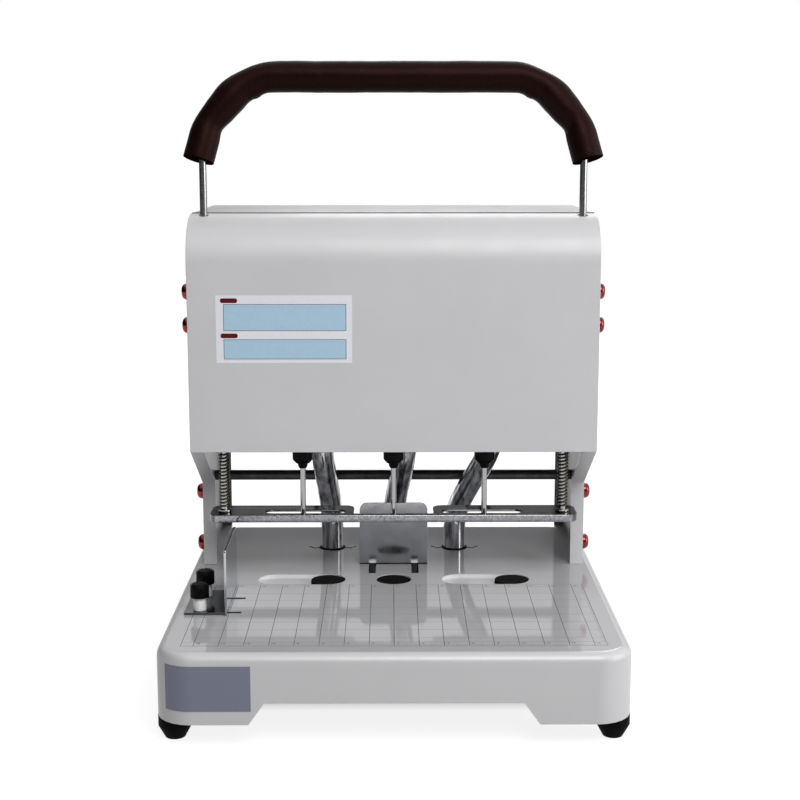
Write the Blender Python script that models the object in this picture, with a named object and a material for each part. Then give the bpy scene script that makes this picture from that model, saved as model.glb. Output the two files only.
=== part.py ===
"""An electric three-hole paper drill for a desk, in metres, +Z up, standing on its feet at z = 0.

A hollow base carries two sheet frames. Between them a yoke slides down on two columns when the
bail handle is pushed. It carries three drill motors, of which the outer two shift sideways, and a
spring-loaded clamp plate. Chips leave each hollow drill through a hose into a tray in the base.
"""

import math

import bmesh
import bpy
from mathutils import Vector

# Clearance between pieces that touch
GAP = 0.0003

# Base
BASE_WIDTH = 0.380
BASE_DEPTH = 0.400
BASE_TOP = 0.077
BASE_CORNER = 0.030
BASE_EDGE = 0.008
BASE_WALL = 0.003
BASE_PLATE = 0.004
NOTCH_HALF_TOP = 0.1025
NOTCH_HALF_BOTTOM = 0.115
NOTCH_HEIGHT = 0.0177
FOOT_HEIGHT = 0.019
FOOT_TOP_RADIUS = 0.0137
FOOT_BOTTOM_RADIUS = 0.0080
FOOT_COLLAR_Z = 0.0105
FOOT_INSET_X = 0.0138
FOOT_INSET_Y = 0.0265
FOOT_PLATE = 0.003
FOOT_PLATE_SIDE = 0.040

# Cutting pads and their recesses in the base
PAD_RADIUS = 0.0155
PAD_THICKNESS = 0.0035
PAD_PLAY = 0.0005
PAD_BELOW_TOP = 0.0004
PAD_NEAR_X = 0.060
PAD_FAR_X = 0.108
PAD_PAN_WALL = 0.003

# Side frames and covers
FRAME_HALF = 0.179
FRAME_FLANGE = 0.012
FRAME_SHEET = 0.003
POST_FRONT = 0.053
POST_KNEE = 0.157
HEAD_BOTTOM = 0.2024
HEAD_TOP = 0.4093
HEAD_FRONT = -0.028
HEAD_REAR = 0.196
COVER_SHEET = 0.002
FRONT_BEND = 0.042
REAR_BEND = 0.010
SEAM = 0.0008
VENT_COUNT = 6
VENT_LENGTH = 0.060
VENT_HEIGHT = 0.0035
VENT_PITCH = 0.010
VENT_LOWEST = 0.300
VENT_X = 0.075

# Button screws on the frames, as places along Y and Z
SCREW_HEAD_RADIUS = 0.0073
SCREW_HEAD_HEIGHT = 0.0062
SCREW_DOME = ((1.0, 0.24), (0.91, 0.62), (0.70, 0.88), (0.46, 1.0))
SCREW_SHANK_RADIUS = 0.004
SCREW_SOCKET_RADIUS = 0.0025
SCREW_SOCKET_DEPTH = 0.0022
COVER_SCREW_Y = -0.010
COVER_SCREW_Z = (0.3425, 0.313)
POST_SCREW_Y = 0.062
POST_SCREW_Z = (0.1467, 0.0972)

# Tie rod, beams and guide columns
TIE_ROD_RADIUS = 0.005
TIE_ROD_Y = 0.125
TIE_ROD_Z = 0.148
COLUMN_RADIUS = 0.008
COLUMN_INSET = 0.039
COLUMN_Y = 0.050
BEAM_HALF_DEPTH = 0.012
LOWER_BEAM_Z = 0.190
LOWER_BEAM_HEIGHT = 0.010
UPPER_BEAM_Z = 0.385
UPPER_BEAM_HEIGHT = 0.012

# Carriage: drill line, yoke, handle and spindles
DRILL_Y = 0.005
DRILL_PITCH = 0.082
STROKE = 0.056
YOKE_Z = 0.330
YOKE_THICKNESS = 0.012
YOKE_INSET = 0.021
YOKE_FRONT = -0.015
YOKE_REAR = 0.063
YOKE_ARM_HALF_WIDTH = 0.0105
YOKE_ARM_PLAY = 0.003
BUSH_RADIUS = 0.0125
BUSH_HEIGHT = 0.012
RUNNING_GAP = 0.0004
SHIFT_IN = 0.021
SHIFT_OUT = 0.026

MOTOR_RADIUS = 0.024
MOTOR_BOTTOM = 0.236
MOTOR_TO_YOKE = 0.004
MOTOR_EDGE = 0.003
NECK_RADIUS = 0.010
NECK_PLAY = 0.0006
NUT_RADIUS = 0.015
NUT_HEIGHT = 0.004
ELBOW_RADIUS = 0.0105
ELBOW_Z = 0.366
ELBOW_BEND = 0.014
ELBOW_END_Z = 0.341

CHUCK_RADIUS = 0.0092
CHUCK_NOSE_RADIUS = 0.0062
CHUCK_NOSE_Z = 0.186
CHUCK_CONE_HEIGHT = 0.0035
CHUCK_BORE_DEPTH = 0.015
DRILL_RADIUS = 0.0025
DRILL_BORE_RADIUS = 0.0017
DRILL_BORE_DEPTH = 0.030
DRILL_TIP_HEIGHT = 0.002

BAIL_RADIUS = 0.0032
BAIL_INSET = 0.0125
BAIL_Y = 0.006
BAIL_SHOULDER_Z = 0.472
BAIL_SHOULDER_RUN = 0.0395
BAIL_BAR_Y = 0.022
BAIL_BAR_Z = 0.5277
BAIL_LOWER_BEND = 0.025
BAIL_UPPER_BEND = 0.040
BAIL_HOLE_RADIUS = 0.0045
GRIP_RADIUS = 0.01375
GRIP_END_SPREAD = 0.0035
GRIP_END_Y = 0.006
GRIP_END_Z = 0.456
GRIP_KNEE_RUN = 0.006
GRIP_KNEE_Y = 0.0135
GRIP_KNEE_Z = 0.486
GRIP_BORE_PLAY = 0.0005

# Clamp plate, its rods and springs
CLAMP_TOP = 0.1409
CLAMP_SHEET = 0.002
CLAMP_LIP = 0.0069
CLAMP_LIP_RUN = 0.004
CLAMP_FRONT_CORNER = 0.009
CLAMP_SIDE_PLAY = 0.001
CLAMP_FRONT = -0.009
CLAMP_REAR = 0.0287
CLAMP_STRIP_REAR = -0.002
CLAMP_GAP_HALF = 0.036
CLAMP_CORNER = 0.008
CLAMP_SLOT_RADIUS = 0.006
CLAMP_SLOT_NEAR = 0.050
CLAMP_SLOT_FAR = 0.110
CLAMP_ROD_INSET = 0.026
CLAMP_ROD_RADIUS = 0.003
CLAMP_ROD_TOP = 0.290
CLAMP_WASHER_RADIUS = 0.0062
CLAMP_WASHER_HEIGHT = 0.0022
SLEEVE_RADIUS = 0.008
SLEEVE_BOTTOM = 0.199

CLAMP_SPRING_RADIUS = 0.0043
CLAMP_SPRING_WIRE = 0.0007
CLAMP_SPRING_TURNS = 16
RETURN_SPRING_RADIUS = 0.0112
RETURN_SPRING_WIRE = 0.0010
RETURN_SPRING_TURNS = 7
POINTS_PER_TURN = 8

# Chip hoses and tray
HOSE_RADIUS = 0.010
HOSE_HOLE_PLAY = 0.0008
HOSE_BASE_X = 0.060
HOSE_BASE_Y = 0.115
HOSE_SIDE_STEP = 0.013
HOSE_HEAD_Y = 0.075
HOSE_END_Z = 0.060
HOSE_STRAIGHT_TO = 0.098
HOSE_CURVED_TO = 0.205
HOSE_STEPS = 14
TRAY_HALF = 0.097
TRAY_FRONT = 0.085
TRAY_BOTTOM = 0.0265
TRAY_HEIGHT = 0.026
TRAY_WALL = 0.002
TRAY_PLAY = 0.0008
TRAY_FACE_HEIGHT = 0.029
TRAY_FACE_THICKNESS = 0.003
TRAY_PULL_RADIUS = 0.012
RAIL_THICKNESS = 0.003
RAIL_LEDGE = 0.006

# Back stop and side guide
STOP_HALF = 0.032
STOP_HEIGHT = 0.0594
STOP_Y = 0.054
STOP_SHEET = 0.002
STOP_FOOT_DEPTH = 0.026
STOP_CORNER = 0.007
STOP_TAB_X = 0.020
STOP_TAB_HALF = 0.0026
STOP_TAB_DROP = 0.009
STOP_SLOT_HALF = 0.0033
STOP_SLOT_FRONT = 0.0245
STOP_SLOT_REAR = 0.075
GUIDE_X = -0.1408
GUIDE_SHEET = 0.002
GUIDE_FRONT = -0.103
GUIDE_REAR = -0.018
GUIDE_HEIGHT = 0.0567
GUIDE_CORNER = 0.006
GUIDE_FOOT_LEFT = -0.1777
GUIDE_FOOT_FRONT = -0.100
GUIDE_FOOT_REAR = -0.035
GUIDE_SLOT_HALF = 0.0028
GUIDE_SLOT_LEFT = -0.170
GUIDE_SLOT_RIGHT = -0.130
KNOB_X = -0.165
KNOB_Y = {"front": -0.092, "rear": -0.052}
KNOB_STUD_RADIUS = 0.0022
KNOB_STUD_DROP = 0.008
KNOB_SPACER_RADIUS = 0.0057
KNOB_SPACER_HEIGHT = 0.0114
KNOB_RADIUS = 0.0080
KNOB_HEIGHT = 0.0116
KNOB_EDGE = 0.0012

# Switch and power inlet on the rear cover
SWITCH_X = -0.120
SWITCH_Z = 0.235
SWITCH_WIDTH = 0.015
SWITCH_HEIGHT = 0.021
SWITCH_BEZEL_RIM = 0.003
SWITCH_BEZEL_FRONT = 0.002
SWITCH_DEPTH = 0.014
SWITCH_PLAY = 0.0008
ROCKER_ROOT_SHARE = 0.5
ROCKER_HEEL_SHARE = 0.94
ROCKER_TOE_RISE = 0.0004
ROCKER_MIDDLE_RISE = 0.0014
ROCKER_HEEL_RISE = 0.0028
INLET_X = 0.120
INLET_Z = 0.235
INLET_WIDTH = 0.028
INLET_HEIGHT = 0.020
INLET_DEPTH = 0.018
INLET_RIM = 0.003
INLET_RECESS = 0.014

ROUND_STEPS = 6
SIDES = ("left", "centre", "right")
SIDE_SIGN = {"left": -1, "centre": 0, "right": 1}

# Levels and places that follow from the sizes above
SKIRT_BOTTOM = FOOT_HEIGHT + GAP
CLAMP_BOTTOM = CLAMP_TOP - CLAMP_LIP
DRILL_TIP_Z = BASE_TOP + STROKE + GAP
YOKE_TOP = YOKE_Z + YOKE_THICKNESS
LOWER_BEAM_TOP = LOWER_BEAM_Z + LOWER_BEAM_HEIGHT
FRAME_FRONT = HEAD_FRONT + COVER_SHEET + GAP
FRAME_TOP = HEAD_TOP - COVER_SHEET - GAP
FRAME_REAR = HEAD_REAR - COVER_SHEET - GAP
FRAME_INSIDE = FRAME_HALF - FRAME_SHEET
FOOT_X = BASE_WIDTH / 2 - FOOT_INSET_X
FOOT_Y = BASE_DEPTH / 2 - FOOT_INSET_Y
COLUMN_X = FRAME_HALF - COLUMN_INSET
YOKE_HALF = FRAME_HALF - YOKE_INSET
YOKE_ARM_REACH = FRAME_INSIDE - YOKE_ARM_PLAY
BAIL_X = FRAME_HALF - BAIL_INSET
BAIL_BAR_X = BAIL_X - BAIL_SHOULDER_RUN
GRIP_END_X = BAIL_X + GRIP_END_SPREAD
GRIP_KNEE_X = BAIL_X - GRIP_KNEE_RUN
CLAMP_HALF = FRAME_HALF - FRAME_FLANGE - CLAMP_SIDE_PLAY
CLAMP_ROD_X = FRAME_HALF - CLAMP_ROD_INSET


def clear_scene():
    """Remove whatever the file holds."""
    for item in list(bpy.data.objects):
        bpy.data.objects.remove(item, do_unlink=True)


def paint(name, colour, roughness, metallic):
    """A plain surface of one colour."""
    made = bpy.data.materials.new(name)
    made.use_nodes = True
    shader = made.node_tree.nodes["Principled BSDF"]
    shader.inputs["Base Color"].default_value = (*colour, 1.0)
    shader.inputs["Roughness"].default_value = roughness
    shader.inputs["Metallic"].default_value = metallic
    return made


def pivot(name, place, parent=None):
    """An empty on a joint's axis, which carries the pieces of one moving body."""
    empty = bpy.data.objects.new(name, None)
    bpy.context.scene.collection.objects.link(empty)
    empty.location = place
    if parent:
        empty.parent = parent
        bpy.context.view_layer.update()
        empty.matrix_parent_inverse = parent.matrix_world.inverted()
    bpy.context.view_layer.update()
    return empty


def add_object(name, data):
    made = bpy.data.objects.new(name, data)
    bpy.context.scene.collection.objects.link(made)
    return made


def finish_mesh(name, bm):
    """Weld the shape, turn its faces outwards and make it an object."""
    bmesh.ops.remove_doubles(bm, verts=bm.verts, dist=1e-6)
    bmesh.ops.recalc_face_normals(bm, faces=bm.faces)
    mesh = bpy.data.meshes.new(name)
    bm.to_mesh(mesh)
    bm.free()
    mesh.shade_smooth()
    mesh.set_sharp_from_angle(angle=math.radians(35))
    return add_object(name, mesh)


def dress(piece, material, parent):
    """Give a piece its material and the body that carries it."""
    piece.data.materials.append(material)
    piece.parent = parent
    piece.matrix_parent_inverse = parent.matrix_world.inverted()
    return piece


def place_on(axis, u, v, along):
    """A point of an outline: X outlines are (y, z), Y outlines (x, z) and Z outlines (x, y)."""
    if axis == "X":
        return (along, u, v)
    if axis == "Y":
        return (u, along, v)
    return (u, v, along)


def prism(name, outline, axis, low, high):
    """An outline extruded along an axis."""
    bm = bmesh.new()
    corners = [bm.verts.new(place_on(axis, u, v, low)) for u, v in outline]
    face = bm.faces.new(corners)
    grown = bmesh.ops.extrude_face_region(bm, geom=[face])
    moved = [item for item in grown["geom"] if isinstance(item, bmesh.types.BMVert)]
    shift = Vector(place_on(axis, 0.0, 0.0, high - low))
    bmesh.ops.translate(bm, verts=moved, vec=shift)
    return finish_mesh(name, bm)


def box(name, x, y, z):
    """A block between three pairs of limits."""
    outline = [(x[0], y[0]), (x[1], y[0]), (x[1], y[1]), (x[0], y[1])]
    return prism(name, outline, "Z", z[0], z[1])


def turned(name, profile, x, y, steps=24):
    """A profile of (radius, z) pairs turned about a vertical line. It starts and ends on the axis."""
    bm = bmesh.new()
    points = [bm.verts.new((x + radius, y, z)) for radius, z in profile]
    edges = [bm.edges.new(pair) for pair in zip(points, points[1:])]
    bmesh.ops.spin(
        bm,
        geom=points + edges,
        cent=(x, y, 0.0),
        axis=(0.0, 0.0, 1.0),
        angle=math.tau,
        steps=steps,
        use_merge=True,
    )
    return finish_mesh(name, bm)


def cylinder(name, x, y, radius, low, high, steps=24):
    return turned(name, [(0.0, low), (radius, low), (radius, high), (0.0, high)], x, y, steps)


def arc_corner(before, corner, after, radius, steps):
    """The points of a fillet that replaces one corner, in two or three dimensions."""
    to_before = (Vector(before) - Vector(corner)).normalized()
    to_after = (Vector(after) - Vector(corner)).normalized()
    half = to_before.angle(to_after) / 2
    reach = radius / math.tan(half)
    centre = Vector(corner) + (to_before + to_after).normalized() * radius / math.sin(half)
    start = Vector(corner) + to_before * reach - centre
    end = Vector(corner) + to_after * reach - centre
    sweep = start.angle(end)
    points = []
    for step in range(steps + 1):
        turn = sweep * step / steps
        weight_end = math.sin(turn) / math.sin(sweep)
        weight_start = math.sin(sweep - turn) / math.sin(sweep)
        points.append(tuple(centre + start * weight_start + end * weight_end))
    return points


def filleted(corners, radii, closed=True, steps=ROUND_STEPS):
    """A path whose corners are rounded, each with its own radius. A radius of 0 stays sharp."""
    points = []
    last = len(corners) - 1
    for index, corner in enumerate(corners):
        at_end = not closed and index in (0, last)
        if at_end or radii[index] <= 0:
            points.append(tuple(corner))
            continue
        after = corners[(index + 1) % len(corners)]
        points += arc_corner(corners[index - 1], corner, after, radii[index], steps)
    return points


def round_rectangle(half_x, half_y, radius, steps=ROUND_STEPS):
    corners = [(-half_x, -half_y), (half_x, -half_y), (half_x, half_y), (-half_x, half_y)]
    return filleted(corners, [radius] * 4, steps=steps)


def slot_outline(first_x, last_x, y, radius):
    """A long hole along X with round ends."""
    points = []
    for centre, start in ((last_x, -math.pi / 2), (first_x, math.pi / 2)):
        for step in range(ROUND_STEPS * 2 + 1):
            turn = start + math.pi * step / (ROUND_STEPS * 2)
            points.append((centre + radius * math.cos(turn), y + radius * math.sin(turn)))
    return points


def mirrored(points):
    """An outline on the other side of the machine."""
    return [(-u, v) for u, v in reversed(points)]


def tube(name, points, radius, roundness):
    """A round rod along a path, with flat ends."""
    curve = bpy.data.curves.new(name, "CURVE")
    curve.dimensions = "3D"
    curve.bevel_depth = radius
    curve.bevel_resolution = roundness
    curve.use_fill_caps = True
    spline = curve.splines.new("POLY")
    spline.points.add(len(points) - 1)
    for point, place in zip(spline.points, points):
        point.co = (*place, 1.0)
    return add_object(name, curve)


def tube_mesh(name, points, radius, roundness):
    """The same rod as a welded mesh, for joining and cutting."""
    rod = tube(name + "_path", points, radius, roundness)
    bpy.context.view_layer.update()
    evaluated = rod.evaluated_get(bpy.context.evaluated_depsgraph_get())
    bm = bmesh.new()
    bm.from_mesh(bpy.data.meshes.new_from_object(evaluated))
    bpy.data.objects.remove(rod, do_unlink=True)
    return finish_mesh(name, bm)


def combine(piece, other, operation):
    """Cut a helper shape out of a piece, or join it on."""
    other.hide_render = True
    other.display_type = "WIRE"
    step = piece.modifiers.new(f"{operation.lower()} {other.name}", "BOOLEAN")
    step.operation = operation
    step.solver = "EXACT"
    step.object = other
    return piece


def cut(piece, other):
    return combine(piece, other, "DIFFERENCE")


def join(piece, other):
    return combine(piece, other, "UNION")


def base_ring(bm, inset, z):
    """One level of the base's outline, drawn in by an inset."""
    outline = round_rectangle(BASE_WIDTH / 2 - inset, BASE_DEPTH / 2 - inset, BASE_CORNER - inset)
    return [bm.verts.new((x, y, z)) for x, y in outline]


def make_base_shell():
    """The outer form, with upright corners and a rounded top edge, before it is hollowed."""
    bm = bmesh.new()
    rings = [base_ring(bm, 0.0, SKIRT_BOTTOM)]
    edge_steps = 4
    for step in range(edge_steps + 1):
        turn = math.pi / 2 * step / edge_steps
        inset = BASE_EDGE * (1 - math.cos(turn))
        rings.append(base_ring(bm, inset, BASE_TOP - BASE_EDGE + BASE_EDGE * math.sin(turn)))
    for lower, upper in zip(rings, rings[1:]):
        for index, vertex in enumerate(lower):
            after = (index + 1) % len(lower)
            bm.faces.new((vertex, lower[after], upper[after], upper[index]))
    bm.faces.new(rings[0][::-1])
    bm.faces.new(rings[-1])
    return finish_mesh("base_housing", bm)


def pad_recess_outlines(grow):
    """The three recesses for the cutting pads, each grown by a margin."""
    radius = PAD_RADIUS + PAD_PLAY + grow
    side = slot_outline(PAD_NEAR_X, PAD_FAR_X, DRILL_Y, radius)
    middle = slot_outline(-GAP, GAP, DRILL_Y, radius)
    return {"left": mirrored(side), "centre": middle, "right": side}


def add_pad_recesses(base):
    """Thicken the plate under each recess, then sink the recess."""
    floor = BASE_TOP - PAD_BELOW_TOP - PAD_THICKNESS - GAP
    for side, outline in pad_recess_outlines(PAD_PAN_WALL).items():
        pan = prism(f"pad_pan_{side}", outline, "Z", floor - PAD_PAN_WALL, BASE_TOP - BASE_PLATE / 2)
        join(base, pan)
    for side, outline in pad_recess_outlines(0.0).items():
        cut(base, prism(f"pad_recess_{side}", outline, "Z", floor, BASE_TOP + PAD_RADIUS))


def add_tray_rails(base):
    """Two angle rails under the plate carry the chip tray."""
    inner = TRAY_HALF + TRAY_PLAY
    top = BASE_TOP - BASE_PLATE / 2
    ledge_top = TRAY_BOTTOM - GAP
    foot = ledge_top - RAIL_THICKNESS
    rear = BASE_DEPTH / 2 - BASE_WALL / 2
    profile = [
        (inner - RAIL_LEDGE, foot),
        (inner + RAIL_THICKNESS, foot),
        (inner + RAIL_THICKNESS, top),
        (inner, top),
        (inner, ledge_top),
        (inner - RAIL_LEDGE, ledge_top),
    ]
    join(base, prism("tray_rail_right", profile, "Y", TRAY_FRONT, rear))
    join(base, prism("tray_rail_left", mirrored(profile), "Y", TRAY_FRONT, rear))


def add_foot_plates(base):
    """A plate in each bottom corner takes a foot."""
    outer_x = BASE_WIDTH / 2 - BASE_WALL / 2
    outer_y = BASE_DEPTH / 2 - BASE_WALL / 2
    for sign_x in (-1, 1):
        for sign_y in (-1, 1):
            corners = [
                (sign_x * (outer_x - FOOT_PLATE_SIDE), sign_y * (outer_y - FOOT_PLATE_SIDE)),
                (sign_x * outer_x, sign_y * (outer_y - FOOT_PLATE_SIDE)),
                (sign_x * outer_x, sign_y * outer_y),
                (sign_x * (outer_x - FOOT_PLATE_SIDE), sign_y * outer_y),
            ]
            outline = filleted(corners, [0.0, 0.0, BASE_CORNER - BASE_WALL / 2, 0.0])
            name = f"foot_plate_{sign_x}_{sign_y}"
            join(base, prism(name, outline, "Z", SKIRT_BOTTOM, SKIRT_BOTTOM + FOOT_PLATE))


def cut_base_openings(base):
    """Hose holes, stop and guide slots, the front notch and the tray's mouth."""
    through = (BASE_TOP - BASE_EDGE, BASE_TOP + BASE_EDGE)
    for side in SIDES:
        hole = HOSE_RADIUS + HOSE_HOLE_PLAY
        x = SIDE_SIGN[side] * HOSE_BASE_X
        cut(base, cylinder(f"hose_hole_{side}", x, HOSE_BASE_Y, hole, *through, steps=16))
    for sign in (-1, 1):
        x = sign * STOP_TAB_X
        wide = (x - STOP_SLOT_HALF, x + STOP_SLOT_HALF)
        cut(base, box(f"stop_slot_{sign}", wide, (STOP_SLOT_FRONT, STOP_SLOT_REAR), through))
    for side, y in KNOB_Y.items():
        deep = (y - GUIDE_SLOT_HALF, y + GUIDE_SLOT_HALF)
        cut(base, box(f"guide_slot_{side}", (GUIDE_SLOT_LEFT, GUIDE_SLOT_RIGHT), deep, through))
    notch = [
        (-NOTCH_HALF_BOTTOM, SKIRT_BOTTOM),
        (-NOTCH_HALF_BOTTOM, SKIRT_BOTTOM - BASE_EDGE),
        (NOTCH_HALF_BOTTOM, SKIRT_BOTTOM - BASE_EDGE),
        (NOTCH_HALF_BOTTOM, SKIRT_BOTTOM),
        (NOTCH_HALF_TOP, SKIRT_BOTTOM + NOTCH_HEIGHT),
        (-NOTCH_HALF_TOP, SKIRT_BOTTOM + NOTCH_HEIGHT),
    ]
    front = -BASE_DEPTH / 2
    cut(base, prism("front_notch", notch, "Y", front - BASE_EDGE, front + 2 * BASE_WALL))
    mouth_x = TRAY_HALF + TRAY_PLAY
    mouth_z = (TRAY_BOTTOM - GAP, TRAY_BOTTOM + TRAY_FACE_HEIGHT + TRAY_PLAY)
    rear = BASE_DEPTH / 2
    cut(base, box("tray_mouth", (-mouth_x, mouth_x), (rear - 2 * BASE_WALL, rear + BASE_EDGE), mouth_z))


def make_base(material, root):
    base = make_base_shell()
    inside = round_rectangle(
        BASE_WIDTH / 2 - BASE_WALL, BASE_DEPTH / 2 - BASE_WALL, BASE_CORNER - BASE_WALL
    )
    cut(base, prism("base_hollow", inside, "Z", SKIRT_BOTTOM - BASE_EDGE, BASE_TOP - BASE_PLATE))
    add_tray_rails(base)
    add_foot_plates(base)
    add_pad_recesses(base)
    cut_base_openings(base)
    dress(base, material, root)


def make_feet(material, root):
    profile = [
        (0.0, 0.0),
        (FOOT_BOTTOM_RADIUS, 0.0),
        (FOOT_TOP_RADIUS, FOOT_COLLAR_Z),
        (FOOT_TOP_RADIUS, FOOT_HEIGHT),
        (0.0, FOOT_HEIGHT),
    ]
    for depth, sign_y in (("front", -1), ("rear", 1)):
        for side, sign_x in (("left", -1), ("right", 1)):
            foot = turned(f"foot_{depth}_{side}", profile, sign_x * FOOT_X, sign_y * FOOT_Y, 20)
            dress(foot, material, root)


def make_pads(material, bodies):
    top = BASE_TOP - PAD_BELOW_TOP
    places = {"left": -PAD_NEAR_X, "centre": 0.0, "right": PAD_FAR_X}
    for side, x in places.items():
        pad = cylinder(f"cutting_pad_{side}", x, DRILL_Y, PAD_RADIUS, top - PAD_THICKNESS, top, 28)
        dress(pad, material, bodies[side])


def frame_corners(inset):
    """The side frame's outline in Y and Z, drawn in by the sheet's thickness for the pocket."""
    bottom = BASE_TOP + GAP
    slope = math.atan2(HEAD_BOTTOM - POST_KNEE, POST_FRONT - FRAME_FRONT)
    knee_drop = inset * (1 / math.cos(slope) - math.tan(slope))
    return [
        (POST_FRONT + inset, bottom + inset),
        (FRAME_REAR - inset, bottom + inset),
        (FRAME_REAR - inset, FRAME_TOP - inset),
        (FRAME_FRONT + inset, FRAME_TOP - inset),
        (FRAME_FRONT + inset, HEAD_BOTTOM + inset / math.cos(slope) - inset * math.tan(slope)),
        (POST_FRONT + inset, POST_KNEE + knee_drop),
    ]


def frame_outline(inset):
    rear = REAR_BEND - COVER_SHEET - GAP - inset
    front = FRONT_BEND - COVER_SHEET - GAP - inset
    return filleted(frame_corners(inset), [0.0, 0.0, rear, front, 0.0, 0.0], steps=8)


def make_side_frames(material, root):
    """Each frame is a pressed sheet pan with a flange all round its edge."""
    for side in ("left", "right"):
        sign = SIDE_SIGN[side]
        inner = FRAME_HALF - FRAME_FLANGE
        span = sorted((sign * inner, sign * FRAME_HALF))
        frame = prism(f"side_frame_{side}", frame_outline(0.0), "X", *span)
        pocket = sorted((sign * (inner - FRAME_SHEET), sign * FRAME_INSIDE))
        cut(frame, prism(f"frame_pocket_{side}", frame_outline(FRAME_SHEET), "X", *pocket))
        top = (FRAME_TOP - 4 * FRAME_SHEET, FRAME_TOP + FRAME_SHEET)
        cut(frame, cylinder(f"bail_notch_{side}", sign * BAIL_X, BAIL_Y, BAIL_HOLE_RADIUS, *top, steps=16))
        for row, (y, z) in enumerate(screw_places()):
            radius = SCREW_SHANK_RADIUS + GAP
            inner_end = FRAME_INSIDE - FRAME_SHEET
            outer_end = FRAME_HALF + FRAME_SHEET
            cut(frame, lying_cylinder(f"screw_hole_{side}_{row}", y, z, radius, inner_end, outer_end, sign))
        dress(frame, material, root)


def lying_cylinder(name, y, z, radius, inner, outer, sign, steps=16):
    """A round bar along X between two distances from the middle."""
    outline = []
    for step in range(steps):
        turn = math.tau * step / steps
        outline.append((y + radius * math.cos(turn), z + radius * math.sin(turn)))
    return prism(name, outline, "X", *sorted((sign * inner, sign * outer)))


def screw_places():
    """Where the button screws sit, as (y, z), from the top down."""
    cover = [(COVER_SCREW_Y, z) for z in COVER_SCREW_Z]
    post = [(POST_SCREW_Y, z) for z in POST_SCREW_Z]
    return cover + post


def make_screws(material, root):
    """Button heads with a socket, turned upright and then laid along X."""
    names = ("cover_upper", "cover_lower", "post_upper", "post_lower")
    head = SCREW_HEAD_HEIGHT
    shank = FRAME_SHEET + GAP
    profile = [
        (0.0, -shank),
        (SCREW_SHANK_RADIUS, -shank),
        (SCREW_SHANK_RADIUS, GAP),
        (SCREW_HEAD_RADIUS, GAP),
        *((SCREW_HEAD_RADIUS * out, head * up) for out, up in SCREW_DOME),
        (SCREW_SOCKET_RADIUS, head),
        (SCREW_SOCKET_RADIUS, head - SCREW_SOCKET_DEPTH),
        (0.0, head - SCREW_SOCKET_DEPTH),
    ]
    for side in ("left", "right"):
        sign = SIDE_SIGN[side]
        for name, (y, z) in zip(names, screw_places()):
            screw = turned(f"screw_{name}_{side}", profile, 0.0, 0.0, 12)
            for vertex in screw.data.vertices:
                across, along, out = vertex.co
                vertex.co = (sign * (FRAME_HALF + out), y + sign * across, z + along)
            dress(screw, material, root)


def make_covers(material, root):
    """A front cover bent over the head, and a cover over its top and rear."""
    sheet = COVER_SHEET
    seam = HEAD_FRONT + FRONT_BEND + sheet
    front_outer = [(HEAD_FRONT, HEAD_BOTTOM), (HEAD_FRONT, HEAD_TOP), (seam, HEAD_TOP)]
    front_inner = [
        (seam, HEAD_TOP - sheet),
        (HEAD_FRONT + sheet, HEAD_TOP - sheet),
        (HEAD_FRONT + sheet, HEAD_BOTTOM),
    ]
    bends = [0.0, FRONT_BEND, 0.0, 0.0, FRONT_BEND - sheet, 0.0]
    outline = filleted(front_outer + front_inner, bends, steps=8)
    front = prism("front_cover", outline, "X", -FRAME_HALF, FRAME_HALF)
    hole_z = (HEAD_TOP - FRONT_BEND, HEAD_TOP + sheet)
    for sign in (-1, 1):
        cut(front, cylinder(f"bail_hole_{sign}", sign * BAIL_X, BAIL_Y, BAIL_HOLE_RADIUS, *hole_z, 16))
    dress(front, material, root)

    start = seam + SEAM
    rear_outer = [(start, HEAD_TOP), (HEAD_REAR, HEAD_TOP), (HEAD_REAR, HEAD_BOTTOM)]
    rear_inner = [
        (HEAD_REAR - sheet, HEAD_BOTTOM),
        (HEAD_REAR - sheet, HEAD_TOP - sheet),
        (start, HEAD_TOP - sheet),
    ]
    bends = [0.0, REAR_BEND, 0.0, 0.0, REAR_BEND - sheet, 0.0]
    rear = prism("top_rear_cover", filleted(rear_outer + rear_inner, bends), "X", -FRAME_HALF, FRAME_HALF)
    cut_rear_cover(rear)
    dress(rear, material, root)


def cut_rear_cover(rear):
    """Two banks of vents, and openings for the switch and the inlet."""
    deep = (HEAD_REAR - 3 * COVER_SHEET, HEAD_REAR + COVER_SHEET)
    for sign in (-1, 1):
        for row in range(VENT_COUNT):
            z = VENT_LOWEST + row * VENT_PITCH
            wide = (sign * VENT_X - VENT_LENGTH / 2, sign * VENT_X + VENT_LENGTH / 2)
            cut(rear, box(f"vent_{sign}_{row}", wide, deep, (z, z + VENT_HEIGHT)))
    for name, x, z, width, height in (
        ("switch_opening", SWITCH_X, SWITCH_Z, SWITCH_WIDTH, SWITCH_HEIGHT),
        ("inlet_opening", INLET_X, INLET_Z, INLET_WIDTH, INLET_HEIGHT),
    ):
        half_x = width / 2 + GAP
        half_z = height / 2 + GAP
        cut(rear, box(name, (x - half_x, x + half_x), deep, (z - half_z, z + half_z)))


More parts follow.
